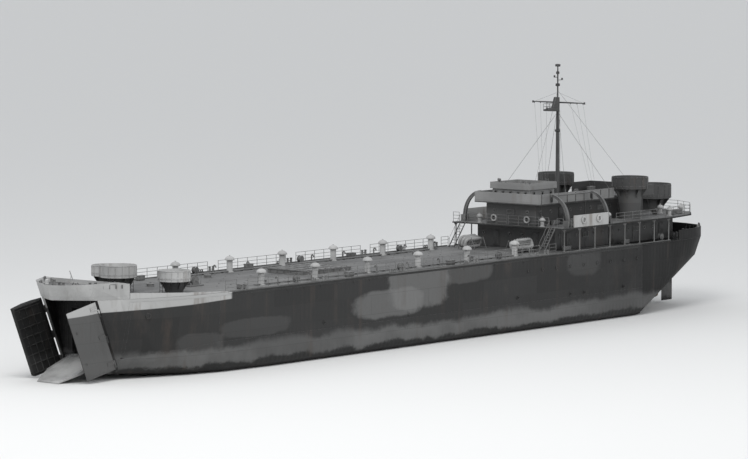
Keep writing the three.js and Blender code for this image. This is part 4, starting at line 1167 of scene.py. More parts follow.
# Superstructure
def make_houses():
    """Plating over the houses, bridge walls and upper decks, and the pillars under the boat deck."""
    # Columns: node, paint, width of its eased edges and of its rounded bends
    for node, paint, bevel, wide in (("deckhouse", HOUSE, 0.007, 0.0), ("bridge_house", HOUSE, 0.006, 0.0),
                                     ("wheelhouse", STONE, 0.008, 0.0),
                                     ("conning_shield", STONE, 0.002, 0.0), ("boat_deck", HULL, 0.002, 0.02),
                                     ("bridge_deck", HOUSE, 0.0015, 0.0),
                                     ("bridge_wall_front", STONE, 0.002, 0.0)):
        dress(node, paint, f"{node}_plating", bevel=bevel, wide=wide)
    for side, sign in SIDES:
        dress(f"bridge_wall_{side}", HOUSE, f"bridge_wall_{side}_plating", bevel=0.002)
        posts = bmesh.new()
        y = sign * 0.725
        low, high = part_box(f"boat_deck_stanchions_{side}")
        add_box(posts, (low.x, y - 0.01, low.z), (high.x, y + 0.01, low.z + 0.01), 0.002)
        post = lathe([(0, 0), (0.013, 0), (0.013, 0.004), (0.0075, 0.009), (0.0065, 0.014), (0.0065, 0.226),
                      (0.008, 0.231), (0.013, 0.234), (0, 0.234)], 14)
        for i in range(8):
            x = at(-2.04 - 0.27 * i)
            stamp(posts, post, move(x, y, DECK + 0.008))
            for way in (-1, 1):
                arm = move(x, y, BOAT_TOP - 0.0125, turn_x=math.pi / 2)
                outline_solid(posts, [(0, 0), (way * 0.035, 0), (0, -0.035)], 0.003, arm)
        settle(posts, f"boat_deck_pillars_{side}", GEAR, replaces=(f"boat_deck_stanchions_{side}",))


def make_deck_coverings():
    """Worn deck plates laid over the upper decks, inside their edges."""
    bm = bmesh.new()
    half = [(-2.008, 0.73), (-3.998, 0.73), (-4.443, 0.648), (-4.69, 0.47), (-4.848, 0.19)]
    outline = [(at(x), y) for x, y in half] + [(at(x), -y) for x, y in reversed(half)]
    outline_solid(bm, outline, 0.0022, Matrix.Translation((0, 0, BOAT_TOP - 0.001)))
    settle(bm, "boat_deck_covering", PLATES)
    bm = bmesh.new()
    add_box(bm, (at(-3.3), -0.42, BRIDGE_TOP - 0.001), (at(-1.996), 0.42, BRIDGE_TOP + 0.0018))
    add_box(bm, (at(-4.05), -0.285, BRIDGE_TOP - 0.001), (at(-3.301), 0.285, BRIDGE_TOP + 0.0018))
    add_box(bm, (at(-2.508), -0.254, CONNING_TOP - 0.0025), (at(-2.052), 0.254, CONNING_TOP + 0.0005))
    settle(bm, "bridge_deck_covering", PLATES)


def make_house_fittings():
    """Portholes, doors, louvres, pipes, buoys and lockers on the houses."""
    rim, pane, brow, door, vent = port_rim(), port_pane(), port_brow(), steel_door(), louvre()
    buoy, reel, box = lifebuoy(), hose_reel(), locker()
    rims, panes, doors, gear, buoys = (bmesh.new() for _ in range(5))

    def window(point, outward, scale=1.0):
        place = on_wall(point, outward, scale)
        stamp(rims, rim, place)
        stamp(rims, brow, place)
        stamp(panes, pane, place)

    # Columns: node, height of the ports, what stands along the sides, and across the ends:
    # p is a port, d a door and v an air intake
    for node, height, along, across in (("deckhouse", 0.915, "pdppvppdppvpdp", "pdppdp"),
                                        ("bridge_house", 1.165, "ppdpvpppdpp", "pvp")):
        low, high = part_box(node)
        walls = [((low.x, high.y, 0), (1, 0, 0), high.x - low.x, (0, 1, 0), along),
                 ((low.x, low.y, 0), (1, 0, 0), high.x - low.x, (0, -1, 0), along),
                 ((high.x, low.y, 0), (0, 1, 0), high.y - low.y, (1, 0, 0), across),
                 ((low.x, low.y, 0), (0, 1, 0), high.y - low.y, (-1, 0, 0), across)]
        for corner, run, length, outward, kinds in walls:
            for i, kind in enumerate(kinds):
                spot = Vector(corner) + Vector(run) * length * (i + 0.5) / len(kinds)
                if kind == "p":
                    window((spot.x, spot.y, height), outward)
                elif kind == "d":
                    stamp(doors, door, on_wall((spot.x, spot.y, low.z), outward))
                else:
                    stamp(gear, vent, on_wall((spot.x, spot.y, height - 0.03), outward))
        for _, sign in SIDES:
            y = sign * (high.y + 0.006)
            top = high.z - 0.016
            pipe(gear, [(low.x + 0.05, y, top), (high.x - 0.05, y, top)], 0.0035)
            for i in range(5):
                x = low.x + (high.x - low.x) * (i + 0.75) / 5
                pipe(gear, [(x, y, top), (x, y, low.z + 0.02)], 0.0022, 6)
    low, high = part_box("wheelhouse")
    for i in range(5):
        y = low.y + (high.y - low.y) * (i + 0.5) / 5
        window((high.x, y, 1.355), (1, 0, 0), 1.25)
    for _, sign in SIDES:
        for i in range(3):
            window((low.x + (high.x - low.x) * (i + 0.5) / 3, sign * high.y, 1.355), (0, sign, 0), 1.25)
        stamp(doors, door, on_wall((low.x, sign * 0.17 - 0.05, low.z), (-1, 0, 0), 0.7))

        # On the boat deck and along its guards
        for x in (-2.35, -2.62):
            stamp(buoys, buoy, on_wall((at(x), sign * 0.7435, 1.095), (0, sign, 0)))
        stamp(buoys, buoy, on_wall((at(-2.0595), sign * 0.22, 1.088), (1, 0, 0)))
        for x in (-2.35, -2.65, -3.0, -3.15, -3.85, -4.25, -4.4):
            y = 0.375 if x > -4.0 else 0.52
            stamp(gear, box, move(at(x), sign * y, BOAT_TOP + 0.001, turn_z=math.pi * (sign > 0)))
        stamp(gear, reel, move(at(-4.1), sign * 0.42, BOAT_TOP + 0.001, turn_z=math.pi / 2))
        stamp(gear, reel, move(at(-3.9), sign * 0.64, DECK + 0.001))
        for x in (-2.25, -3.3):
            stamp(gear, box, move(at(x), sign * 0.6, DECK + 0.001))
    settle(rims, "house_port_rims", GEAR)
    settle(panes, "house_port_glass", GLASS)
    settle(doors, "house_doors", DARK)
    settle(gear, "house_fittings", GEAR)
    settle(buoys, "life_rings", PALE)


def make_bridge_fittings():
    """Lamps, compasses, lockers, voice pipes, flag racks and wall ribs on the bridge."""
    lamp, compass, box = signal_lamp(), compass_stand(), locker()
    gear, dark, flags = bmesh.new(), bmesh.new(), bmesh.new()
    for _, sign in SIDES:
        stamp(gear, lamp, move(at(-2.72), sign * 0.37, BRIDGE_TOP + 0.001, turn_z=sign * 0.9))
        stamp(gear, lamp, move(at(-2.12), sign * 0.2, CONNING_TOP, turn_z=sign * 0.5, scale=0.75))
        stamp(gear, box, move(at(-2.2), sign * 0.39, BRIDGE_TOP + 0.001, turn_z=math.pi * (sign > 0)))
        stamp(gear, box, move(at(-3.94), sign * 0.33, BRIDGE_TOP + 0.001, turn_z=math.pi * (sign > 0)))
        # Flag racks: an open frame with rows of folded cloth
        x0, y0 = at(-3.22), sign * 0.34
        for i in range(7):
            x = x0 + 0.024 * i
            add_box(dark, (x - 0.001, y0 - 0.02, BRIDGE_TOP), (x + 0.001, y0 + 0.02, BRIDGE_TOP + 0.085))
        for rise in (0.004, 0.03, 0.056, 0.084):
            z = BRIDGE_TOP + rise
            add_box(dark, (x0, y0 - 0.021, z - 0.001), (x0 + 0.144, y0 + 0.021, z + 0.001))
        for i in range(6):
            for rise in (0.006, 0.032, 0.058):
                x = x0 + 0.0125 + 0.024 * i
                add_ball(flags, (x, y0, BRIDGE_TOP + rise + 0.009), 0.01, 8, (1.0, 1.7, 0.85))
        # Voice pipes with their mouthpieces
        for half in (0.1, 0.16):
            y = sign * half
            pipe(gear, [(at(-2.075), y, 1.41), (at(-2.075), y, 1.455), (at(-2.09), y, 1.468)], 0.005)
            add_rod(gear, (at(-2.088), y, 1.466), (at(-2.1), y, 1.476), 0.005, 10, 0.011)
        # Stiffening ribs outside the side walls
        for i in range(9):
            x = at(-2.03 - 0.15 * i)
            add_side_box(dark, sign, (x - 0.002, 0.429, BRIDGE_TOP + 0.004), (x + 0.002, 0.436, 1.36))
    stamp(gear, compass, move(at(-2.28), 0, CONNING_TOP, scale=0.78))
    stamp(gear, compass, move(at(-2.62), 0, BRIDGE_TOP + 0.001))
    settle(gear, "bridge_fittings", GEAR)
    settle(dark, "bridge_racks_and_ribs", HOUSE)
    settle(flags, "folded_flags", LINEN, smooth=60)


def crescent(shrink, steps=32):
    """The davit's outer and inner arcs, from heel to head, with the rims taken off by shrink."""
    arcs = []
    for reach, rise in ((0.25 - shrink, 0.29 - shrink), (0.212 + shrink, 0.262 + shrink)):
        turns = [-0.1 + (0.47 * math.pi + 0.1) * i / steps for i in range(steps + 1)]
        arcs.append([(-0.231 + reach * math.cos(turn), rise * math.sin(turn)) for turn in turns])
    return arcs


def make_davits():
    """Crescent arms with sunk webs, their stands, and hoisting blocks under the heads."""
    (outer, inner), (outer_web, inner_web) = crescent(0.0), crescent(0.006)
    flanges = (outer + outer_web[::-1], inner_web + inner[::-1])
    stations = [at(x) for x in DAVIT_ARMS]
    for side, sign in SIDES:
        body = f"davit_{side}"
        node = f"davit_arms_{side}"
        foot = Vector((0, sign * 0.69, BOAT_TOP + 0.052))
        bm = bmesh.new()
        for x in stations:
            for outlines, half in (((outer_web + inner_web[::-1],), 0.0045), (flanges, 0.012)):
                for outline in outlines:
                    turn = Matrix(((0, 0, 1), (sign, 0, 0), (0, 1, 0))).to_4x4()
                    place = Matrix.Translation(foot + Vector((x - half, 0, 0))) @ turn
                    outline_solid(bm, outline, 2 * half, place)
            # Heel boss and the stiffeners across the web
            add_rod(bm, foot + Vector((x - 0.017, 0, 0)), foot + Vector((x + 0.017, 0, 0)), 0.014, 24)
            add_rod(bm, foot + Vector((x - 0.012, 0, 0)), foot + Vector((x + 0.012, 0, 0)), 0.0185, 24)
            for step in (8, 16, 24):
                start, end = (foot + Vector((x, sign * arc[step][0], arc[step][1]))
                              for arc in (outer_web, inner_web))
                for face in (Vector((-0.0095, 0, 0)), Vector((0.0095, 0, 0))):
                    add_rod(bm, start + face, end + face, 0.002, 6)
        head = foot + Vector((0, -sign * 0.213, 0.274))
        add_rod(bm, head + Vector((at(-2.862), 0, 0)), head + Vector((at(-2.138), 0, 0)), 0.008, 16)
        for x in stations:
            add_rod(bm, head + Vector((x - 0.0125, 0, 0)), head + Vector((x + 0.0125, 0, 0)), 0.0125, 20)
        settle(bm, f"{node}_steel", GEAR, body, (node,))
        dress(f"davit_stands_{side}", GEAR, f"davit_stands_{side}_steel", bevel=0.003)
        blocks = bmesh.new()
        tip_y, tip_z = sign * (0.69 - 0.213), BOAT_TOP + 0.326
        for x in stations:
            add_box(blocks, (x - 0.005, tip_y - 0.014, tip_z - 0.062),
                    (x + 0.005, tip_y + 0.014, tip_z - 0.026), 0.003)
            for shift in (-0.008, 0.008):
                add_box(blocks, (x + shift - 0.0015, tip_y - 0.006, tip_z - 0.068),
                        (x + shift + 0.0015, tip_y + 0.006, tip_z - 0.004), 0.001)
            add_rod(blocks, (x - 0.011, tip_y, tip_z - 0.044), (x + 0.011, tip_y, tip_z - 0.044), 0.004, 8)
            stamp(blocks, ring_of(0.006, 0.002, 12, 6), move(x, tip_y, tip_z - 0.073, turn_y=math.pi / 2))
        settle(blocks, f"davit_blocks_{side}", DARK, body)


def make_mast():
    """Mast and topmast turned in one, with lamp drums, rungs, platform rim, yard and stays."""
    head, truck = 2.23, 2.7
    pole = [(0, BRIDGE_TOP), (0.036, BRIDGE_TOP), (0.036, BRIDGE_TOP + 0.006), (0.0245, BRIDGE_TOP + 0.012),
            (0.022, BRIDGE_TOP + 0.018), (0.0182, 1.972), (0.026, 1.976), (0.03, 1.98), (0.03, 1.996),
            (0.026, 2.0), (0.0178, 2.003), (0.015, 2.224), (0.012, head), (0.009, 2.236)]
    for low, high, radius in ((2.466, 2.494, 0.026), (2.596, 2.624, 0.02)):
        pole += [(0.0078, low - 0.002), (radius - 0.004, low), (radius, low + 0.004),
                 (radius * 0.92, low + 0.006), (radius * 0.92, high - 0.008), (radius, high - 0.006),
                 (radius - 0.008, high), (0.0075, high + 0.003)]
    pole += [(0.0062, 2.674), (0.022, 2.676), (0.03, 2.681), (0.028, 2.685), (0.028, 2.694), (0.03, 2.698),
             (0.018, 2.7036), (0, truck + 0.004)]
    bm = bmesh.new()
    stamp(bm, lathe(pole, 24), Matrix.Translation((MAST_X, 0, 0)))
    settle(bm, "mast_and_topmast", DARK, replaces=("mast",))
    dress("mast_platform", DARK, "mast_bracket", bevel=0.003)

    bm = bmesh.new()
    spar = lathe([(0, -0.35), (0.0045, -0.35), (0.0072, -0.2), (0.0085, -0.02), (0.0085, 0.02),
                  (0.0072, 0.2), (0.0045, 0.35), (0, 0.35)], 14)
    yard_x, yard_z = MAST_X - 0.017, head + 0.06
    stamp(bm, spar, move(yard_x, 0, yard_z, turn_x=math.pi / 2))
    settle(bm, "yard_spar", DARK, replaces=("yard",))

    fittings, wires = bmesh.new(), bmesh.new()
    add_rungs(fittings, (MAST_X - 0.026, 0, BRIDGE_TOP + 0.01), (MAST_X - 0.02, 0, 2.2), 0.014, (-1, 0, 0))
    for z in (2.18, 2.3):
        stamp(fittings, ring_of(0.017, 0.0035, 20, 8), move(MAST_X, 0, z - 0.02))
    lamp = lathe([(0, 0), (0.01, 0), (0.011, 0.004), (0.009, 0.008), (0.009, 0.018), (0.011, 0.021),
                  (0, 0.025)], 16)
    for place in ((yard_x, 0.345, yard_z - 0.012), (yard_x, -0.345, yard_z - 0.012),
                  (MAST_X - 0.05, 0.02, 2.53), (MAST_X + 0.045, -0.01, 2.56), (MAST_X + 0.19, 0.0, 2.222)):
        stamp(fittings, lamp, move(*place))
    add_rod(fittings, (MAST_X, 0, 2.53), (MAST_X - 0.05, 0.02, 2.532), 0.003, 6)
    add_rod(fittings, (MAST_X, 0, 2.562), (MAST_X + 0.045, -0.01, 2.562), 0.003, 6)
    edge = [(MAST_X + 0.03, 0.038, 2.222), (MAST_X + 0.203, 0.038, 2.222), (MAST_X + 0.203, -0.038, 2.222),
            (MAST_X + 0.03, -0.038, 2.222)]
    rail_run(fittings, edge, heights=(0.03, 0.06), spacing=0.06, radius=0.0015)
    settle(fittings, "mast_fittings", DARK)

    # Shrouds with their screws, halyards with their blocks, the yard's lifts, and two stays
    for _, sign in SIDES:
        for reach in (0.42, -0.36):
            high, low = Vector((MAST_X, sign * 0.014, 2.17)), Vector((MAST_X + reach, sign * 0.424, 1.366))
            add_rod(wires, high, low, 0.0016, 6)
            up = (high - low).normalized()
            add_rod(wires, low - up * 0.002, low + up * 0.035, 0.0035, 8)
        for share in (0.45, 0.7, 0.93):
            y = sign * 0.35 * share
            foot = (MAST_X - 0.2, sign * (0.26 + 0.12 * share), BRIDGE_TOP + 0.05)
            add_rod(wires, (yard_x, y, yard_z), foot, 0.0009, 5)
            add_ball(wires, (yard_x, y, yard_z - 0.01), 0.006, 8)
        add_rod(wires, (MAST_X, 0, 2.4), (yard_x, sign * 0.33, yard_z), 0.001, 5)
    add_rod(wires, (MAST_X, 0, 2.42), (at(-2.49), 0, 1.47), 0.0014, 6)
    add_rod(wires, (MAST_X, 0, 2.42), (at(-4.055), 0.11, 1.36), 0.0014, 6)
    settle(wires, "mast_stays", WIRE)


# Deck gear
def make_ventilators_and_bollards():
    """Ventilators with the pipe run between them, gunwale bars with bitts and fairleads, small vents."""
    head, post, chock, small = mushroom_head(), bitts(), fairlead(), mushroom_head(0.1, 0.02, 0.034)
    for side, sign in SIDES:
        node = f"ventilators_{side}"
        low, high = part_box(node)
        y = (low.y + high.y) / 2
        bm = bmesh.new()
        for i in range(6):
            stamp(bm, head, move(at(-1.4 + 0.8 * i), y, DECK, turn_z=0.4 * i))
        settle(bm, f"{node}_heads", PALE, replaces=(node,))
        bm = bmesh.new()
        for shift in (-0.008, 0.008):
            pipe(bm, [(low.x, y + shift, DECK + 0.012), (high.x, y + shift, DECK + 0.012)], 0.0055)
        for i in range(29):
            x = low.x + 0.07 + 0.145 * i
            add_box(bm, (x - 0.005, y - 0.017, DECK - 0.001), (x + 0.005, y + 0.017, DECK + 0.0145), 0.001)
        settle(bm, f"{node}_pipe_run", GEAR)

        bm = bmesh.new()
        node = f"gunwale_{side}"
        low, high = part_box(node)
        y = (low.y + high.y) / 2
        add_box(bm, (low.x, y - 0.008, DECK - 0.001), (high.x, y + 0.008, DECK + 0.0095), 0.002)
        for i in range(5):
            x = at(-1.7 + 1.19 * i)
            stamp(bm, post, move(x, y, DECK + 0.0005))
            if i < 4:
                stamp(bm, chock, move(x + 0.16, y, DECK + 0.009))
        settle(bm, f"{node}_bollards", GEAR, replaces=(node,))

        bm = bmesh.new()
        for x, across in ((-4.12, 0.6), (-4.3, 0.35), (-4.48, 0.5), (-2.06, 0.42), (-3.1, 0.52)):
            stamp(bm, small, move(at(x), sign * across, BOAT_TOP + 0.001))
        settle(bm, f"boat_deck_vents_{side}", PALE)


def make_rafts():
    """Three oval floats leaning on a rack on each side, with slatted floors and grab lines."""
    tube = ring_of(0.03, 0.018, 26, 12)

    def build(bm):
        stamp(bm, tube, Matrix.Rotation(math.pi / 26, 4, "Z"))
        for vert in bm.verts:
            vert.co.x += 0.1 if vert.co.x > 0 else -0.1
            vert.co.y += 0.012 if vert.co.y > 0 else -0.012
        for i in range(9):
            x = -0.1 + 0.025 * i
            add_box(bm, (x - 0.004, -0.03, -0.002), (x + 0.004, 0.03, 0.001))
        for y in (-0.02, 0.0, 0.02):
            add_box(bm, (-0.118, y - 0.003, -0.004), (0.118, y + 0.003, -0.001))
        for i in range(6):
            x = -0.0875 + 0.035 * i
            for y in (-1, 1):
                line = [(x - 0.013, y * 0.0605, 0.004), (x, y * 0.066, -0.004),
                        (x + 0.013, y * 0.0605, 0.004)]
                pipe(bm, line, 0.0013, 5)

    raft = unit(build)
    for side, sign in SIDES:
        up = Vector((0, -sign * 0.326, 0.945))
        out = Vector((1, 0, 0)).cross(up)
        turn = axes(Vector((1, 0, 0)), up, out)
        bm = bmesh.new()
        for layer in (-1, 0, 1):
            centre = Vector((at(-1.8), sign * 0.343, DECK + 0.078)) + out * 0.0375 * layer
            stamp(bm, raft, Matrix.Translation(centre) @ turn)
        settle(bm, f"life_raft_{side}_floats", LINEN, replaces=(f"life_raft_{side}",))
        bm = bmesh.new()
        for x in (at(-1.9), at(-1.7)):
            corner = Vector((x, sign * 0.296, DECK + 0.004))
            inner = Vector((x, sign * 0.25, DECK + 0.125))
            foot = Vector((x, sign * 0.42, DECK + 0.03))
            for start, end in ((corner, inner), (corner, foot), (inner, Vector((x, sign * 0.2, DECK))),
                               (foot, Vector((x, sign * 0.425, DECK)))):
                add_rod(bm, start, end, 0.004, 8)
        settle(bm, f"life_raft_rack_{side}", GEAR)


def winch(steel, wound, x, half, height, drum, flange):
    """A wire winch across the ship: bed, cheeks, geared flange, motor and a drum of wound wire."""
    z = DECK + height
    add_box(steel, (x - 0.1, -half - 0.03, DECK - 0.001), (x + 0.1, half + 0.03, DECK + 0.013), 0.003)
    cheek = [(-0.05, 0), (0.05, 0), (0.016, height + 0.006), (0.008, height + 0.014),
             (-0.008, height + 0.014), (-0.016, height + 0.006)]
    for y in (-half - 0.016, half + 0.016):
        upright = move(x, y + 0.004, DECK + 0.012, turn_x=math.pi / 2)
        outline_solid(steel, [(a, b * 0.95) for a, b in cheek], 0.008, upright)
    add_rod(steel, (x, -half - 0.028, z), (x, half + 0.028, z), 0.009, 14)
    disc = lathe([(0, -0.004), (flange - 0.003, -0.004), (flange, -0.002), (flange, 0.002),
                  (flange - 0.003, 0.004), (drum + 0.006, 0.004), (drum + 0.004, 0.0025), (0, 0.0025)], 32)
    for y in (-half + 0.004, half - 0.004):
        stamp(steel, disc, move(x, y, z, turn_x=math.copysign(math.pi / 2, -y)))
    gear = lathe([(0, -0.006), (flange - 0.006, -0.006), (flange - 0.006, 0.006), (0, 0.006)], 32)
    stamp(steel, gear, move(x, half + 0.006, z, turn_x=math.pi / 2))
    tooth = unit(lambda bm: add_box(bm, (-0.002, -0.0055, flange - 0.008),
                                    (0.002, 0.0055, flange - 0.001)))
    for i in range(30):
        stamp(steel, tooth, move(x, half + 0.006, z, turn_y=2 * math.pi * i / 30))
    motor = lathe([(0, -0.05), (0.02, -0.05), (0.026, -0.044), (0.026, 0.044), (0.02, 0.05), (0.008, 0.051),
                   (0.008, 0.062), (0, 0.062)], 20)
    stamp(steel, motor, move(x + 0.07, half - 0.06, DECK + 0.042, turn_x=-math.pi / 2))
    add_box(steel, (x + 0.05, half - 0.1, DECK + 0.01), (x + 0.09, half - 0.02, DECK + 0.024), 0.002)
    pipe(steel, [(x - 0.06, half + 0.02, DECK + 0.01), (x - 0.075, half + 0.02, DECK + 0.1)], 0.0025)
    add_ball(steel, (x - 0.075, half + 0.02, DECK + 0.102), 0.005, 10)
    # Turns of wire side by side on the drum
    width = 2 * half - 0.018
    turns = round(width / 0.008)
    step = width / turns
    profile = [(0, -width / 2)]
    for i in range(turns):
        start = -width / 2 + width * i / turns
        profile += [(drum - 0.0015, start), (drum, start + step * 0.25),
                    (drum + 0.0008, start + step * 0.5), (drum, start + step * 0.75)]
    profile += [(drum - 0.0015, width / 2), (0, width / 2)]
    stamp(wound, lathe(profile, 28), move(x, 0, z, turn_x=math.pi / 2))


def make_winches():
    # Columns: node, place, half length, height of the axle, radius of the drum and of its flanges
    for node, x, half, height, drum, flange in (("stern_winch", -4.61, 0.1, 0.07, 0.042, 0.061),
                                                ("deck_winch", 3.08, 0.13, 0.055, 0.032, 0.048)):
        steel, wound = bmesh.new(), bmesh.new()
        winch(steel, wound, at(x), half, height, drum, flange)
        settle(steel, f"{node}_frame", GEAR, replaces=(node,))
        settle(wound, f"{node}_wire", WIRE)


def make_stern_gear():
    """Anchor with its wire over the stern, fairleads, stern lamp and bulwark knees."""
    dress("stern_anchor", DARK, "stern_anchor_steel", bevel=0.003)
    bm, wire = bmesh.new(), bmesh.new()
    for y in (-0.022, 0.022):
        cheek = move(at(-4.96), y + 0.002, 0.868, turn_x=math.pi / 2)
        horn = [(-0.04, 0), (0.03, 0), (0.012, 0.034), (-0.012, 0.04), (-0.03, 0.028)]
        outline_solid(bm, horn, 0.004, cheek)
    sheave = lathe([(0, -0.016), (0.027, -0.016), (0.027, -0.013), (0.021, -0.006), (0.021, 0.006),
                    (0.027, 0.013), (0.027, 0.016), (0, 0.016)], 28)
    axle_x, axle_z = at(-4.962), 0.888
    stamp(bm, sheave, move(axle_x, 0, axle_z, turn_x=math.pi / 2))
    add_rod(bm, (axle_x, -0.03, axle_z), (axle_x, 0.03, axle_z), 0.005, 10)
    stamp(bm, ring_of(0.011, 0.003, 16, 8), move(at(-4.885), 0, 0.522, turn_y=math.pi / 2))
    # The wire, from the winch over the sheave and down to the anchor's ring
    route = ((-4.63, DECK + 0.111), (-4.955, 0.911), (-4.975, 0.908), (-4.985, 0.895), (-4.988, 0.545),
             (-4.975, 0.534), (-4.9, 0.5335))
    pipe(wire, [(at(x), 0, z) for x, z in route], 0.0035)
    settle(wire, "stern_anchor_wire", WIRE)
    chock, post, box = fairlead(), bitts(), locker()
    bulwark_top = 0.869
    for _, sign in SIDES:
        stamp(bm, post, move(at(-4.42), sign * 0.5, DECK))
        stamp(bm, post, move(at(-4.8), sign * 0.33, DECK, turn_z=math.pi / 2))
        stamp(bm, chock, move(at(-4.823), sign * 0.503, bulwark_top, turn_z=sign * 0.85))
        stamp(bm, chock, move(at(-4.608), sign * 0.637, bulwark_top, turn_z=sign * 0.4))
        stamp(bm, box, move(at(-4.37), sign * 0.25, DECK))
        # Knees inside the bulwark. Columns: place along the ship, half breadth
        plan = ((-4.1, 0.732), (-4.464, 0.679), (-4.724, 0.574), (-4.874, 0.424), (-4.949, 0.224))
        for (x0, y0), (x1, y1) in zip(plan, plan[1:]):
            count = max(2, round(math.hypot(x1 - x0, y1 - y0) / 0.075))
            inward = Vector((y0 - y1, -sign * (x0 - x1), 0)).normalized()
            for i in range(count):
                share = (i + 0.5) / count
                spot = Vector((at(x0 + (x1 - x0) * share), sign * (y0 + (y1 - y0) * share), DECK))
                place = Matrix.Translation(spot) @ axes(inward, UP, inward.cross(UP))
                outline_solid(bm, [(0, 0), (0.03, 0), (0, 0.09)], 0.003, place)
    lamp = lathe([(0, 0), (0.012, 0), (0.013, 0.004), (0.011, 0.008), (0.011, 0.02), (0.013, 0.024),
                  (0, 0.03)], 16)
    stamp(bm, lamp, move(at(-4.845), 0.05, BOAT_TOP + 0.107))
    settle(bm, "stern_fairleads_and_bitts", GEAR)


def make_propellers_and_rudders():
    """Three twisted blades on each hub, ribbed rudder blades, and a gland on each skeg."""
    hub = [(0, -0.034), (0.016, -0.034), (0.019, -0.026), (0.0185, 0.01), (0.015, 0.034), (0.011, 0.046),
           (0.004, 0.054), (0, 0.055)]
    for side, sign in SIDES:
        body = f"propeller_{side}"

        def build(bm):
            stamp(bm, lathe(hub, 28), Matrix())
            add_rod(bm, (0, 0, -0.078), (0, 0, -0.03), 0.011, 18)
            for i in range(3):
                blade = bmesh.ops.create_circle(bm, cap_ends=True, segments=36, radius=1.0)["verts"]
                faces = list({face for vert in blade for face in vert.link_faces})
                inner = bmesh.ops.inset_region(bm, faces=faces, thickness=0.3, depth=0.0)["faces"]
                bmesh.ops.poke(bm, faces=[face for face in faces if face.is_valid])
                faces = [face for face in inner + faces if face.is_valid]
                verts = list({vert for face in faces for vert in face.verts} | set(blade))
                turn = Matrix.Rotation(2 * math.pi * i / 3 + math.pi / 2, 4, "Z")
                for vert in verts:
                    reach, chord = 0.057 + 0.0465 * vert.co.x, 0.034 * vert.co.y
                    pitch = -sign * math.radians(66 - 22 * (reach - 0.02) / 0.084)
                    flat = Vector((reach, chord, 0.006 * vert.co.y * vert.co.y))
                    vert.co = turn @ Matrix.Rotation(pitch, 4, "X") @ flat
                skin = list({face for vert in verts for face in vert.link_faces})
                bmesh.ops.solidify(bm, geom=skin, thickness=0.0045)

        bm = bmesh.new()
        y = sign * SHAFT_HALF
        stamp(bm, unit(build), move(at(-4.27), y, SHAFT_UP, turn_y=-math.pi / 2))
        settle(bm, f"{body}_wheel", BRONZE, body, (body,), smooth=50)

        body = f"rudder_{side}"
        dress(body, HULL, f"{body}_blade", bevel=0.0025, body=body)
        bm = bmesh.new()
        for z in (0.07, 0.125, 0.18, 0.235, 0.28):
            rib = [(-0.144, -0.0045), (0.01, -0.0105), (0.04, -0.005), (0.04, 0.005), (0.01, 0.0105),
                   (-0.144, 0.0045)]
            outline_solid(bm, rib, 0.003, Matrix.Translation((at(-4.53), y, z)))
        settle(bm, f"{body}_ribs", HULL, body)

        # Shaft gland with its bolts on the skeg
        bm = bmesh.new()
        gland = lathe([(0.012, 0), (0.03, 0), (0.03, 0.006), (0.022, 0.009), (0.022, 0.02), (0.012, 0.022)],
                      24, closed=True)
        stamp(bm, gland, move(at(-4.188), y, SHAFT_UP, turn_y=-math.pi / 2))
        for turn in range(6):
            angle = turn * math.pi / 3
            spot = Vector((at(-4.193), y + 0.026 * math.cos(angle), SHAFT_UP + 0.026 * math.sin(angle)))
            add_rod(bm, spot, spot - Vector((0.005, 0, 0)), 0.0025, 6)
        settle(bm, f"shaft_gland_{side}", BRONZE)


def make_hatch():
    """The cargo hatch: ribbed coaming, and a lid with dogs, lifting eyes and frames underneath."""
    dress("hatch_coaming", GEAR, "hatch_coaming_steel", bevel=0.001)
    dress("hatch_lid", GEAR, "hatch_lid_steel", bevel=0.0015, body="hatch_lid")
    low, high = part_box("hatch_coaming")
    bm = bmesh.new()
    for i in range(9):
        x = low.x + 0.03 + (high.x - low.x - 0.06) * i / 8
        for sign in (-1, 1):
            add_side_box(bm, sign, (x - 0.002, high.y - 0.001, DECK - 0.001),
                         (x + 0.002, high.y + 0.01, high.z - 0.002))
    for i in range(6):
        y = low.y + 0.04 + (high.y - low.y - 0.08) * i / 5
        add_box(bm, (high.x - 0.001, y - 0.002, DECK - 0.001), (high.x + 0.01, y + 0.002, high.z - 0.002))
    settle(bm, "hatch_coaming_ribs", GEAR)
    bm = bmesh.new()
    low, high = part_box("hatch_lid")
    for i in range(8):
        x = at(0.95) + 0.083 * i
        for sign in (-1, 1):
            y = sign * 0.249
            add_box(bm, (x - 0.007, y - 0.006, 0.8125), (x + 0.007, y + 0.006, 0.8175), 0.001)
            add_rod(bm, (x, y, 0.8165), (x, y, 0.8205), 0.0035, 6)
    for x in (at(1.07), at(1.4)):
        for y in (-0.12, 0.12):
            stamp(bm, ring_of(0.01, 0.0022, 14, 6), move(x, y, 0.818, turn_x=math.pi / 2))
    for y in (-0.12, 0.0, 0.12):
        add_box(bm, (at(0.905), y - 0.003, 0.812), (at(1.585), y + 0.003, 0.8165))
    settle(bm, "hatch_lid_dogs", GEAR, "hatch_lid")
    # Frames under the lid, inside the coaming
    bm = bmesh.new()
    for y in (-0.2, -0.1, 0.0, 0.1, 0.2):
        add_box(bm, (at(0.95), y - 0.002, low.z - 0.016), (at(1.53), y + 0.002, low.z + 0.001))
    for i in range(7):
        x = at(0.95 + 0.29 / 3 * i)
        add_box(bm, (x - 0.002, -0.202, low.z - 0.012), (x + 0.002, 0.202, low.z + 0.001))
    settle(bm, "hatch_lid_frames", GEAR, "hatch_lid")


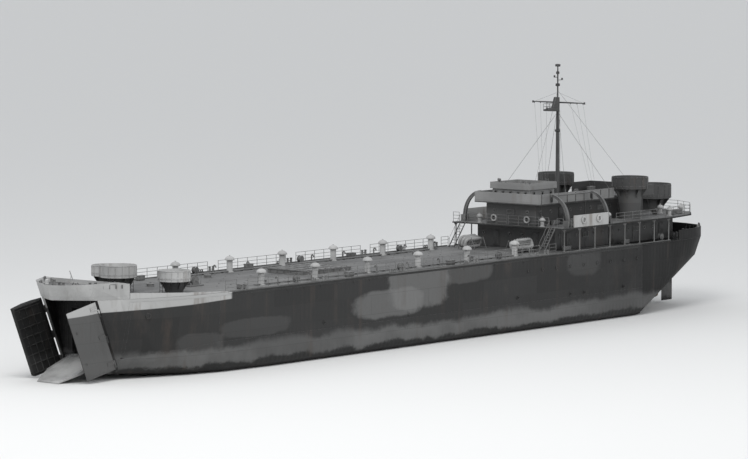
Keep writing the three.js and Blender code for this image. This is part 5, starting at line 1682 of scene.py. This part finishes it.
# Setting: a pale floor, soft light and the photograph's view
def make_setting():
    bm = bmesh.new()
    bmesh.ops.create_grid(bm, x_segments=1, y_segments=1, size=150.0)
    mesh = bpy.data.meshes.new("floor")
    bm.to_mesh(mesh)
    bm.free()
    paper = bpy.data.materials.new("pale floor")
    paper.use_nodes = True
    shader = paper.node_tree.nodes["Principled BSDF"]
    shader.inputs["Base Color"].default_value = (0.7, 0.7, 0.69, 1.0)
    shader.inputs["Roughness"].default_value = 0.9
    mesh.materials.append(paper)
    floor = bpy.data.objects.new("floor", mesh)
    floor.location.z = -0.0005
    bpy.context.scene.collection.objects.link(floor)

    world = bpy.data.worlds.new("sky")
    bpy.context.scene.world = world
    world.use_nodes = True
    sky = world.node_tree.nodes["Background"].inputs
    sky[0].default_value = (0.95, 0.97, 1.0, 1.0)
    sky[1].default_value = 0.84

    # Columns: name, place, size, power
    for name, place, size, power in (("key", (10.0, 5.0, 14.0), 7.0, 1400.0),
                                     ("fill", (-4.0, 16.0, 7.0), 9.0, 300.0)):
        data = bpy.data.lights.new(name, "AREA")
        data.size = size
        data.energy = power
        lamp = bpy.data.objects.new(name, data)
        lamp.location = place
        lamp.rotation_euler = (Vector((0, 0, 0.5)) - Vector(place)).to_track_quat("-Z", "Y").to_euler()
        bpy.context.scene.collection.objects.link(lamp)
    bpy.context.scene.view_settings.view_transform = "Standard"


def make_camera():
    """From well off the port bow, as in the photograph, with the ship filling the frame."""
    data = bpy.data.cameras.new("camera")
    camera = bpy.data.objects.new("camera", data)
    camera.location = (at(31.07), 25.49, 4.49)
    aim = Vector((at(0.22), 0.0, 1.12))
    camera.rotation_euler = (aim - camera.location).to_track_quat("-Z", "Y").to_euler()
    data.sensor_width = 36.0
    data.lens = 190.0
    data.clip_end = 500.0
    bpy.context.scene.collection.objects.link(camera)
    bpy.context.scene.camera = camera


make_camera()
make_setting()
make_hull()
make_side_fittings()
make_hall()
make_deck_plan()
make_rails()
make_stairs()
make_doors()
make_ramp()
make_portal()
make_tubs()
make_houses()
make_deck_coverings()
make_house_fittings()
make_bridge_fittings()
make_davits()
make_mast()
make_ventilators_and_bollards()
make_rafts()
make_winches()
make_stern_gear()
make_propellers_and_rudders()
make_hatch()
